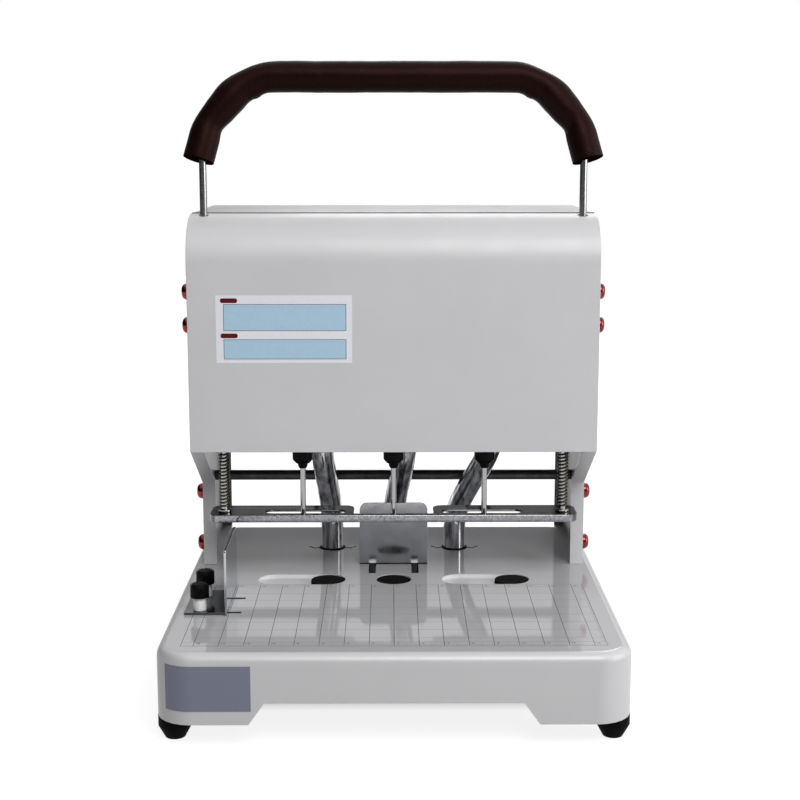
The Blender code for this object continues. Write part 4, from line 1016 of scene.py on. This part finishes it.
# %% Coil springs
COIL_POINTS = 22
COIL_ROUNDNESS = 3
COIL_SHADE = 60
CLAMP_SPRING = {
    "body": "carriage",
    "radius": 0.0043,
    "wire": 0.0007,
    "turns": 17,
    "joint": "clamp_lift",
    "travel": 0.030,
    "fixed_at_top": True,
}
RETURN_SPRING = {
    "body": "base",
    "radius": 0.0112,
    "wire": 0.0010,
    "turns": 7,
    "joint": "carriage_slide",
    "travel": 0.056,
    "fixed_at_top": False,
}


def coil_path(centre, radius, low, high, turns):
    count = turns * COIL_POINTS
    path = []
    for step in range(count + 1):
        turn = math.tau * step / COIL_POINTS
        z = low + (high - low) * step / count
        path.append(Vector((centre.x + radius * math.cos(turn), centre.y + radius * math.sin(turn), z)))
    return path


def make_spring(node, rod, name, body, radius, wire, turns, joint, travel, fixed_at_top):
    low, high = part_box(node)
    path = coil_path(middle_of(rod), radius, low.z + wire, high.z - wire, turns)
    spring = rod_along(path, wire, COIL_ROUNDNESS)
    shade(spring, COIL_SHADE)
    settle(spring, name, spring_zinc, body)
    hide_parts(node)
    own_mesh(spring)


for side in ("left", "right"):
    make_spring(f"clamp_spring_{side}", f"clamp_rod_{side}", f"clamp_coil_{side}", **CLAMP_SPRING)
    make_spring(f"return_spring_{side}", f"guide_column_{side}", f"return_coil_{side}", **RETURN_SPRING)
print("springs made")

# %% [markdown]
# A chip hose runs from the elbow behind each motor down to a hole in the base. It has to follow the
# head down, and the outer hoses also follow their motor sideways. Each outer hose is made as two lengths,
# joined at a clip that rides with the carriage.

# %% Chip hoses
HOSE_RADIUS = 0.0108
HOSE_HEAD_X = {"left": -0.069, "centre": 0.013, "right": 0.095}
HOSE_BASE_X = {"left": -0.060, "centre": 0.0, "right": 0.060}
HOSE_HEAD_Y = 0.075
HOSE_BASE_Y = 0.115
HOSE_TOP = 0.3407
HOSE_BOTTOM = 0.060
CURVE_TOP = 0.205
CURVE_BOTTOM = 0.098
CLIP_LEVEL = 0.270
CLIP_HALF = 0.004
HOSE_STEP = 0.004
HOSE_ROUNDNESS = 10
HOSE_SHADE = 40
BAND_WALL = 0.0012
BAND_FACES = 40
BAND_ROUNDING = 0.0005
EAR_FACING = 0.98
EAR_LENGTH = 0.004


def hose_place(side, z):
    """The middle of a hose at a height."""
    share = min(1.0, max(0.0, (CURVE_TOP - z) / (CURVE_TOP - CURVE_BOTTOM)))
    bend = ease(share)
    x = HOSE_HEAD_X[side] + (HOSE_BASE_X[side] - HOSE_HEAD_X[side]) * bend
    y = HOSE_HEAD_Y + (HOSE_BASE_Y - HOSE_HEAD_Y) * bend
    return Vector((x, y, z))


def hose_run(side, low, high, name):
    steps = max(8, round((high - low) / HOSE_STEP))
    path = [hose_place(side, low + (high - low) * step / steps) for step in range(steps + 1)]
    piece = rod_along(path, HOSE_RADIUS, HOSE_ROUNDNESS)
    shade(piece, HOSE_SHADE)
    settle(piece, name, hose_skin, None)
    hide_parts(f"chip_hose_{side}")
    return piece


def add_clip(side):
    """A band with a pinched ear, where the two lengths of hose meet."""
    place = hose_place(side, CLIP_LEVEL)
    ends = (CLIP_LEVEL - CLIP_HALF, CLIP_LEVEL + CLIP_HALF)
    band = add_cylinder(place, HOSE_RADIUS + BAND_WALL, *ends, BAND_FACES)
    pick_faces(band, lambda face: face.normal.y > EAR_FACING and looks_sideways(face))
    extrude((0.0, EAR_LENGTH, 0.0))
    leave_edit()
    complete(band, f"hose_clip_{side}", bright_steel, "carriage", BAND_ROUNDING)


for side in SIDES:
    top = HOSE_TOP if side == "centre" else CLIP_LEVEL
    lower = hose_run(side, HOSE_BOTTOM, top, f"hose_{side}")
    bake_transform(lower)
    if side != "centre":
        upper = hose_run(side, CLIP_LEVEL, HOSE_TOP, f"hose_top_{side}")
        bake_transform(upper)
        add_clip(side)
print("hoses made")

# %% [markdown]
# Where each hose enters the base, the hole is edged with a rubber ring, and the clear film round it has
# two small dark tears. A torus gives the ring. Each tear is a short waved strip that lies on the base.

# %% Hose rings and film tears
BASE_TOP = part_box("base_housing")[1].z
RING_RADIUS = HOSE_RADIUS + 0.0009
RING_WIRE = 0.0011
RING_LIFT = 0.0003
RING_FLATNESS = 0.7
TEAR_LENGTH = 0.011
TEAR_STEPS = 12
TEAR_WAVE = 0.0022
TEAR_WAVE_TURN = 9.0
TEAR_DRIFT = 0.004
TEAR_LIFT = 0.0002
TEAR_RADIUS = 0.0006


def add_hose_ring(side):
    start_alone()
    bpy.ops.mesh.primitive_torus_add(
        location=(HOSE_BASE_X[side], HOSE_BASE_Y, BASE_TOP + RING_LIFT),
        major_radius=RING_RADIUS,
        minor_radius=RING_WIRE,
        major_segments=48,
        minor_segments=10,
    )
    ring = bpy.context.object
    ring.scale.z = RING_FLATNESS
    complete(ring, f"hose_ring_{side}", rubber, "base", angle=60)


def tear_path(side, sign):
    """A waved line on the base, from a ring outwards."""
    path = []
    for step in range(TEAR_STEPS + 1):
        share = step / TEAR_STEPS
        x = HOSE_BASE_X[side] + sign * (RING_RADIUS + TEAR_LENGTH * share)
        y = HOSE_BASE_Y + TEAR_WAVE * math.sin(share * TEAR_WAVE_TURN) + TEAR_DRIFT * (share - 1)
        path.append(Vector((x, y, BASE_TOP + TEAR_LIFT)))
    return path


for side in SIDES:
    add_hose_ring(side)
    tears = [rod_along(tear_path(side, sign), TEAR_RADIUS, 2) for sign in (-1, 1)]
    settle(join_pieces(tears), f"film_tear_{side}", ink, "base")
print("hose rings at", round(BASE_TOP, 4))

# %% [markdown]
# The side guide is held by two thumb knobs: a knurled black cap on a white nylon spacer, on a steel stud.
# The cap starts as a cylinder. Every second side face is pushed in for the knurl, and its rims are rounded.

# %% Thumb knobs
CAP_RADIUS = 0.0080
CAP_FACES = 44
CAP_TAPER = 0.72
CAP_SHOULDER = 0.0024
CAP_TOUCH = 0.0001
RIM_MARGIN = 0.1
KNURL_RIM = 0.00016
KNURL_DEPTH = 0.00045
CAP_ROUNDING = 0.00022
SHEET_LIFT = 0.0023
SPACER_HEIGHT = 0.0114
SPACER_RADIUS = 0.0057
SPACER_RIM = 0.0012
SPACER_HOLLOW = 0.0004
SPACER_ROUNDING = 0.0005
STUD_RADIUS = 0.0022
STUD_TAPER = 0.7
KNOB_GAP = 0.0001


def shoulder_point(point, place, top):
    """Drop the rim of a cap, so that its shoulder slopes up to the smaller top face."""
    out = Vector((point.x - place.x, point.y - place.y)).length
    on_rim = point.z > top - CAP_TOUCH and out > CAP_RADIUS * (CAP_TAPER + RIM_MARGIN)
    return Vector((point.x, point.y, point.z - CAP_SHOULDER)) if on_rim else point


def make_knob(side):
    node = f"thumb_knob_{side}"
    low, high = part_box(node)
    place = middle_of(node)
    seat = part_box("side_guide")[0].z + SHEET_LIFT
    cap_low = seat + SPACER_HEIGHT
    body = f"knob_{side}"

    cap = add_cylinder(place, CAP_RADIUS, cap_low, high.z, CAP_FACES)
    press_in(cap, 2, KNURL_RIM, KNURL_DEPTH)
    pick_faces(cap, looks_up)
    draw_in(place, CAP_TAPER)
    leave_edit()
    move_points(cap, lambda point: shoulder_point(point, place, high.z))
    complete(cap, f"knob_cap_{side}", black_plastic, body, CAP_ROUNDING)
    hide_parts(node)

    spacer = add_cylinder(place, SPACER_RADIUS, seat, cap_low - KNOB_GAP)
    pick_faces(spacer, looks_down)
    bpy.ops.mesh.inset(thickness=SPACER_RIM)
    extrude((0.0, 0.0, SPACER_HOLLOW))
    leave_edit()
    complete(spacer, f"knob_spacer_{side}", white_nylon, body, SPACER_ROUNDING, 3)

    stud = add_cylinder(place, STUD_RADIUS, low.z, seat - KNOB_GAP, 20)
    pick_faces(stud, looks_down)
    draw_in(place, STUD_TAPER)
    leave_edit()
    complete(stud, f"knob_stud_{side}", bright_steel, body)


for side in ("front", "rear"):
    make_knob(side)
print("knobs made")

# %% [markdown]
# Each chuck ends in a small black nut that grips the drill. It starts as a cylinder, its lower face is
# drawn in for the taper, and a ring of its side faces is pushed in where the spanner goes.

# %% Chuck nuts
NUT_RADIUS = 0.0044
NUT_TAPER = 0.74
NUT_HEIGHT = 0.0046
NUT_SUNK = 0.001
FLAT_RIM = 0.00008
FLAT_DEPTH = 0.0003
NUT_ROUNDING = 0.0002


def add_chuck_nut(side):
    place = middle_of(f"chuck_{side}")
    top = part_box(f"chuck_{side}")[0].z
    nut = add_cylinder(place, NUT_RADIUS, top - NUT_HEIGHT, top + NUT_SUNK, 36)
    pick_faces(nut, looks_down)
    draw_in(place, NUT_TAPER)
    leave_edit()
    rim = (NUT_TAPER + 1) / 2 * NUT_RADIUS
    raise_rim = Vector((0.0, 0.0, NUT_HEIGHT / 2))

    def taper(point):
        out = Vector((point.x - place.x, point.y - place.y)).length
        low = point.z < top - NUT_HEIGHT / 2
        return point + raise_rim if low and out > rim else point

    move_points(nut, taper)
    press_in(nut, 6, FLAT_RIM, FLAT_DEPTH)
    complete(nut, f"chuck_nut_{side}", black_plastic, f"spin_{side}", NUT_ROUNDING)


for side in SIDES:
    add_chuck_nut(side)
print("chuck nuts made")

# %% [markdown]
# The covers are held by eight red button-head screws. One is modelled upright: a cylinder with a domed
# rim and a hexagon socket cut into it. Copies are laid on their side, each in its own place.

# %% Red screws
HEAD_RADIUS = 0.0073
HEAD_HEIGHT = 0.0062
SOCKET_RADIUS = 0.0024
SHANK_RADIUS = 0.0040
HEAD_SEAT = 0.0003
DOME_WIDTH = 0.0044
DOME_STEPS = 7
SHANK_LENGTH = 0.0034
SOCKET_DEPTH = 0.0024
SOCKET_PAST = 0.002
SCREW_NAMES = ("cover_upper", "cover_lower", "post_upper", "post_lower")


def make_screw_pattern():
    """A screw that stands on z = 0 with its shank below."""
    origin = Vector((0.0, 0.0, 0.0))
    screw = add_cylinder(origin, HEAD_RADIUS, HEAD_SEAT, HEAD_HEIGHT, 40)
    pick_faces(screw, looks_up)
    bpy.ops.mesh.bevel(offset=DOME_WIDTH, segments=DOME_STEPS, affect="EDGES", profile=0.5)
    leave_edit()
    pick_faces(screw, looks_down)
    bpy.ops.mesh.inset(thickness=HEAD_RADIUS - SHANK_RADIUS)
    extrude((0.0, 0.0, -SHANK_LENGTH))
    leave_edit()
    socket_ends = (HEAD_HEIGHT - SOCKET_DEPTH, HEAD_HEIGHT + SOCKET_PAST)
    cut_away(screw, add_cylinder(origin, SOCKET_RADIUS, *socket_ends, 6))
    shade(screw)
    return screw


screw_pattern = make_screw_pattern()
frame_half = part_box("side_frame_right")[1].x
for side, sign in (("left", -1), ("right", 1)):
    for place_name in SCREW_NAMES:
        node = f"screw_{place_name}_{side}"
        centre = middle_of(node)
        screw = copy_piece(screw_pattern)
        seat = Vector((sign * frame_half, centre.y, centre.z))
        move_points(screw, lambda point: seat + Vector((sign * point.z, sign * point.x, point.y)))
        settle(screw, f"red_screw_{place_name}_{side}", red_dye, "base")
        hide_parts(node)
bpy.data.objects.remove(screw_pattern)
print("screws at", round(frame_half, 4))

# %% [markdown]
# The base top carries a printed grid of 20 mm squares for lining up paper, with a ruler of ticks and plain
# numbers round it. Each set of lines is one thin bar, repeated by an array. The guide's slots are cut out.

# %% Printed grid
GRID_PITCH = 0.020
COLUMN_COUNT = 17
ROW_COUNT = 9
GRID_HALF = 0.170
GRID_FRONT = -0.179
GRID_REAR = -0.0118
RULER_FRONT = -0.1697
RULER_REAR = -0.019
INK_HEIGHT = 0.00006
COLUMN_INK = 0.00045
ROW_INK = 0.0003
TICK_PITCH = 0.002
TICK_LENGTH = 0.0024
LONG_TICK = 0.0045
NUMBER_SIZE = 0.0036
NUMBER_STEPS = range(-8, 9)
NUMBER_SHIFT = 0.16
NUMBERS_A_SQUARE = 2
NUMBER_ROWS = (RULER_FRONT - 0.0042, RULER_REAR + 0.0011)
SLOT_MIDDLES = (-0.092, -0.052)
SLOT_ENDS = (-0.1702, -0.1298)
SLOT_HALF = 0.003
SLOT_CUT = 0.002


def ink_bar(x, y, width, depth):
    low = (x - width / 2, y, BASE_TOP - INK_HEIGHT)
    return add_bar(low, (x + width / 2, y + depth, BASE_TOP + INK_HEIGHT))


def repeat(piece, count, step):
    spacing = {"use_relative_offset": False, "use_constant_offset": True, "constant_offset_displace": step}
    add_modifier(piece, "lines", "ARRAY", count=count, **spacing)
    apply_all(piece)
    return piece


def cut_guide_slots(piece):
    for y in SLOT_MIDDLES:
        low = (SLOT_ENDS[0], y - SLOT_HALF, BASE_TOP - SLOT_CUT)
        cut_away(piece, add_bar(low, (SLOT_ENDS[1], y + SLOT_HALF, BASE_TOP + SLOT_CUT)))


def make_grid():
    depth = GRID_REAR - GRID_FRONT
    first = -GRID_PITCH * (COLUMN_COUNT - 1) / 2
    columns = repeat(ink_bar(first, GRID_FRONT, COLUMN_INK, depth), COLUMN_COUNT, (GRID_PITCH, 0.0, 0.0))
    sides = repeat(ink_bar(-GRID_HALF, GRID_FRONT, COLUMN_INK, depth), 2, (2 * GRID_HALF, 0.0, 0.0))
    dark = join_pieces([columns, sides])
    cut_guide_slots(dark)
    settle(dark, "grid_columns", ink, "base")
    width = 2 * GRID_HALF
    rows = repeat(ink_bar(0.0, GRID_FRONT, width, ROW_INK), ROW_COUNT, (0.0, GRID_PITCH, 0.0))
    edges = [ink_bar(0.0, y, width, ROW_INK) for y in (RULER_FRONT, GRID_REAR)]
    faint = join_pieces([rows, *edges])
    cut_guide_slots(faint)
    settle(faint, "grid_rows", faint_ink, "base")


def make_ruler():
    """Ticks along the front, the rear and the right side of the grid."""
    across = round(2 * GRID_HALF / TICK_PITCH) + 1
    along = round((RULER_REAR - RULER_FRONT) / TICK_PITCH)
    tens = round(2 * GRID_HALF / (GRID_PITCH / 2)) + 1
    rear_tick = GRID_REAR - TICK_LENGTH
    right_tick = ink_bar(GRID_HALF - TICK_LENGTH / 2, RULER_FRONT, TICK_LENGTH, ROW_INK)
    ticks = [
        repeat(ink_bar(-GRID_HALF, GRID_FRONT, ROW_INK, TICK_LENGTH), across, (TICK_PITCH, 0.0, 0.0)),
        repeat(ink_bar(-GRID_HALF, GRID_FRONT, ROW_INK, LONG_TICK), tens, (GRID_PITCH / 2, 0.0, 0.0)),
        repeat(ink_bar(-GRID_HALF, rear_tick, ROW_INK, TICK_LENGTH), across, (TICK_PITCH, 0.0, 0.0)),
        repeat(right_tick, along, (0.0, TICK_PITCH, 0.0)),
    ]
    settle(join_pieces(ticks), "grid_ruler", faint_ink, "base")


def add_number(text, x, y):
    """Plain figures that lie on the base, read from the front."""
    start_alone()
    bpy.ops.object.text_add(location=(x, y, BASE_TOP))
    label = bpy.context.object
    label.data.body = text
    label.data.size = NUMBER_SIZE
    label.data.align_x = "CENTER"
    label.data.extrude = INK_HEIGHT
    bpy.ops.object.convert(target="MESH")
    apply_all(label)
    return bpy.context.object


make_grid()
make_ruler()
numbers = []
for y in NUMBER_ROWS:
    for step in NUMBER_STEPS:
        text = str(abs(step) * NUMBERS_A_SQUARE)
        numbers.append(add_number(text, (step + NUMBER_SHIFT) * GRID_PITCH, y))
settle(join_pieces(numbers), "grid_numbers", ink, "base")
print("grid lines and", len(numbers), "numbers")

# %% [markdown]
# Two stickers mark the machine, and both are left plain. One is a white card with two pale panels on
# the head. The other is a blue-grey plate that follows the rounded front corner of the base.

# %% Stickers
COVER_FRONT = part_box("front_cover")[0].y
CARD_LOW = (-0.154, 0.282)
CARD_HIGH = (-0.036, 0.341)
FILM = 0.00012
CARD_CORNER = 0.0004
PANEL_CORNER = 0.0002
MARK_CORNER = 0.0016


def add_card(low, high, level, name, material, corner):
    """A flat film on the front cover with rounded corners."""
    card = add_bar((low[0], COVER_FRONT - level - FILM, low[1]), (high[0], COVER_FRONT - level, high[1]))
    pick_faces(card, lambda face: False)
    bpy.ops.mesh.select_mode(type="EDGE")
    leave_edit()
    for edge in card.data.edges:
        first, second = (card.data.vertices[index].co for index in edge.vertices)
        edge.select = abs(first.y - second.y) > FILM / 2
    bpy.ops.object.mode_set(mode="EDIT")
    bpy.ops.mesh.bevel(offset=corner, segments=4, affect="EDGES")
    leave_edit()
    return settle(card, name, material, "base")


LEVELS = (0.00002, 0.00008, 0.00014)
PANEL_LINE = 0.0005
PANEL_PLACES = (((-0.147, 0.3105), (-0.0415, 0.3328)), ((-0.147, 0.2857), (-0.0415, 0.3022)))
MARK_SIZE = (0.0148, 0.0040)
MARK_SHIFT = (-0.003, 0.0016)
add_card(CARD_LOW, CARD_HIGH, LEVELS[0], "card_white", label_white, CARD_CORNER)
for number, (low, high) in enumerate(PANEL_PLACES):
    line_low = (low[0] - PANEL_LINE, low[1] - PANEL_LINE)
    line_high = (high[0] + PANEL_LINE, high[1] + PANEL_LINE)
    add_card(line_low, line_high, LEVELS[1], f"card_line_{number}", ink, PANEL_CORNER)
    add_card(low, high, LEVELS[2], f"card_panel_{number}", label_blue, PANEL_CORNER)
    mark_low = (low[0] + MARK_SHIFT[0], high[1] + MARK_SHIFT[1])
    mark_high = (mark_low[0] + MARK_SIZE[0], mark_low[1] + MARK_SIZE[1])
    add_card(mark_low, mark_high, LEVELS[2], f"card_mark_{number}", label_red, MARK_CORNER)

BASE_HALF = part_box("base_housing")[1].x
BASE_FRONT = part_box("base_housing")[0].y
CORNER_RADIUS = 0.030
STICKER_RIGHT = -0.1128
STICKER_LENGTH = 0.070
STICKER_Z = (0.0305, 0.0676)
STICKER_DEPTHS = (0.00016, 0.00004)
STICKER_CUTS = 24


def wrap_on_corner(point):
    """Bend a flat strip round the base's front left corner. The strip's x runs along the surface."""
    flat_end = -BASE_HALF + CORNER_RADIUS
    if point.x >= flat_end:
        return point
    turn = (flat_end - point.x) / CORNER_RADIUS
    out = BASE_FRONT - point.y + CORNER_RADIUS
    y = BASE_FRONT + CORNER_RADIUS - out * math.cos(turn)
    return Vector((flat_end - out * math.sin(turn), y, point.z))


sticker = add_bar(
    (STICKER_RIGHT - STICKER_LENGTH, BASE_FRONT - STICKER_DEPTHS[0], STICKER_Z[0]),
    (STICKER_RIGHT, BASE_FRONT - STICKER_DEPTHS[1], STICKER_Z[1]),
)
edit_whole(sticker)
bpy.ops.mesh.subdivide(number_cuts=STICKER_CUTS)
leave_edit()
move_points(sticker, wrap_on_corner)
shade(sticker)
settle(sticker, "base_sticker", sticker_blue, "base")
print("stickers on", round(COVER_FRONT, 4), round(BASE_FRONT, 4))

# %% [markdown]
# The rear has a mains inlet and a switch. The inlet needs its three flat pins, and the switch its plain
# line and ring marks. Pins are small blocks with rounded tips.

# %% Inlet pins and switch marks
PIN_SIZE = (0.0020, 0.0090, 0.0040)
PIN_PLACES = ((-0.007, 0.0018), (0.007, 0.0018), (0.0, -0.0026))
PIN_ROUNDING = 0.0005
PIN_SUNK = 0.0004
WELL_DEPTH = 0.014
# How far the rocker's face lies in at its lower end, its middle and its upper end
ROCKER_DIPS = (0.0024, 0.0014, 0.0)
MARK_HALF_WIDTH = 0.0004
MARK_HALF_HEIGHT = 0.0020
MARK_DEPTH = 0.0002
MARK_RING = 0.0018
MARK_RING_FLATNESS = 0.3


def make_pins():
    low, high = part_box("power_inlet")
    middle = (low + high) / 2
    well_floor = high.y - WELL_DEPTH
    pins = []
    for x, z in PIN_PLACES:
        corner = Vector((middle.x + x, well_floor - PIN_SUNK, middle.z + z))
        half = Vector((PIN_SIZE[0] / 2, 0.0, PIN_SIZE[2] / 2))
        pin = add_bar(corner - half, corner + half + Vector((0.0, PIN_SIZE[1], 0.0)))
        add_bevel(pin, PIN_ROUNDING)
        apply_all(pin)
        pins.append(pin)
    settle(join_pieces(pins), "inlet_pins", bright_steel, "base")


def rocker_face(z):
    """Depth of the rocker's bent face at a height, from its lower end to its middle and its upper end."""
    low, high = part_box("switch_rocker")
    middle = (low.z + high.z) / 2
    lower, centre, upper = (high.y - dip for dip in ROCKER_DIPS)
    if z < middle:
        return lower + (centre - lower) * (z - low.z) / (middle - low.z)
    return centre + (upper - centre) * (z - middle) / (high.z - middle)


def make_switch_marks():
    low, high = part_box("switch_rocker")
    middle = (low + high) / 2
    quarter = (high.z - low.z) / 4
    line_z = middle.z - quarter
    half = Vector((MARK_HALF_WIDTH, 0.0, MARK_HALF_HEIGHT))
    centre = Vector((middle.x, 0.0, line_z))
    line = add_bar(centre - half, centre + half + Vector((0.0, MARK_DEPTH, 0.0)))
    start_alone()
    bpy.ops.mesh.primitive_torus_add(
        location=(middle.x, MARK_DEPTH / 2, middle.z + quarter),
        rotation=(math.pi / 2, 0.0, 0.0),
        major_radius=MARK_RING,
        minor_radius=MARK_HALF_WIDTH,
        major_segments=32,
        minor_segments=6,
    )
    ring = bpy.context.object
    ring.scale.z = MARK_RING_FLATNESS
    apply_all(ring)
    marks = join_pieces([line, ring])
    move_points(marks, lambda point: Vector((point.x, point.y + rocker_face(point.z), point.z)))
    settle(marks, "switch_marks", label_white, "rocker")


make_pins()
make_switch_marks()
print("pins and marks made")

# %% [markdown]
# A thin dark strip, in the rubber finish, lies in the seam between the two covers as painted shade for
# the gap's shadow. It stands a little proud of the sheet, so it shows from the front as a dark line behind
# the bend.

# %% Seam strip
STRIP_PROUD = 0.0007
STRIP_SUNK = 0.0015
STRIP_SHORT = 0.001
STRIP_GAP = 0.0001
STRIP_ROUNDING = 0.0002
seam_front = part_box("front_cover")[1].y
seam_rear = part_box("top_rear_cover")[0].y
cover_low, cover_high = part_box("top_rear_cover")
# Painted shade: a dark strip that stands for the shadow in the seam
strip = add_bar(
    (cover_low.x + STRIP_SHORT, seam_front + STRIP_GAP, cover_high.z - STRIP_SUNK),
    (cover_high.x - STRIP_SHORT, seam_rear - STRIP_GAP, cover_high.z + STRIP_PROUD),
)
add_bevel(strip, STRIP_ROUNDING)
apply_all(strip)
settle(strip, "seam_shadow_strip", rubber, "base")
print("strip from", round(seam_front, 4), "to", round(seam_rear, 4))
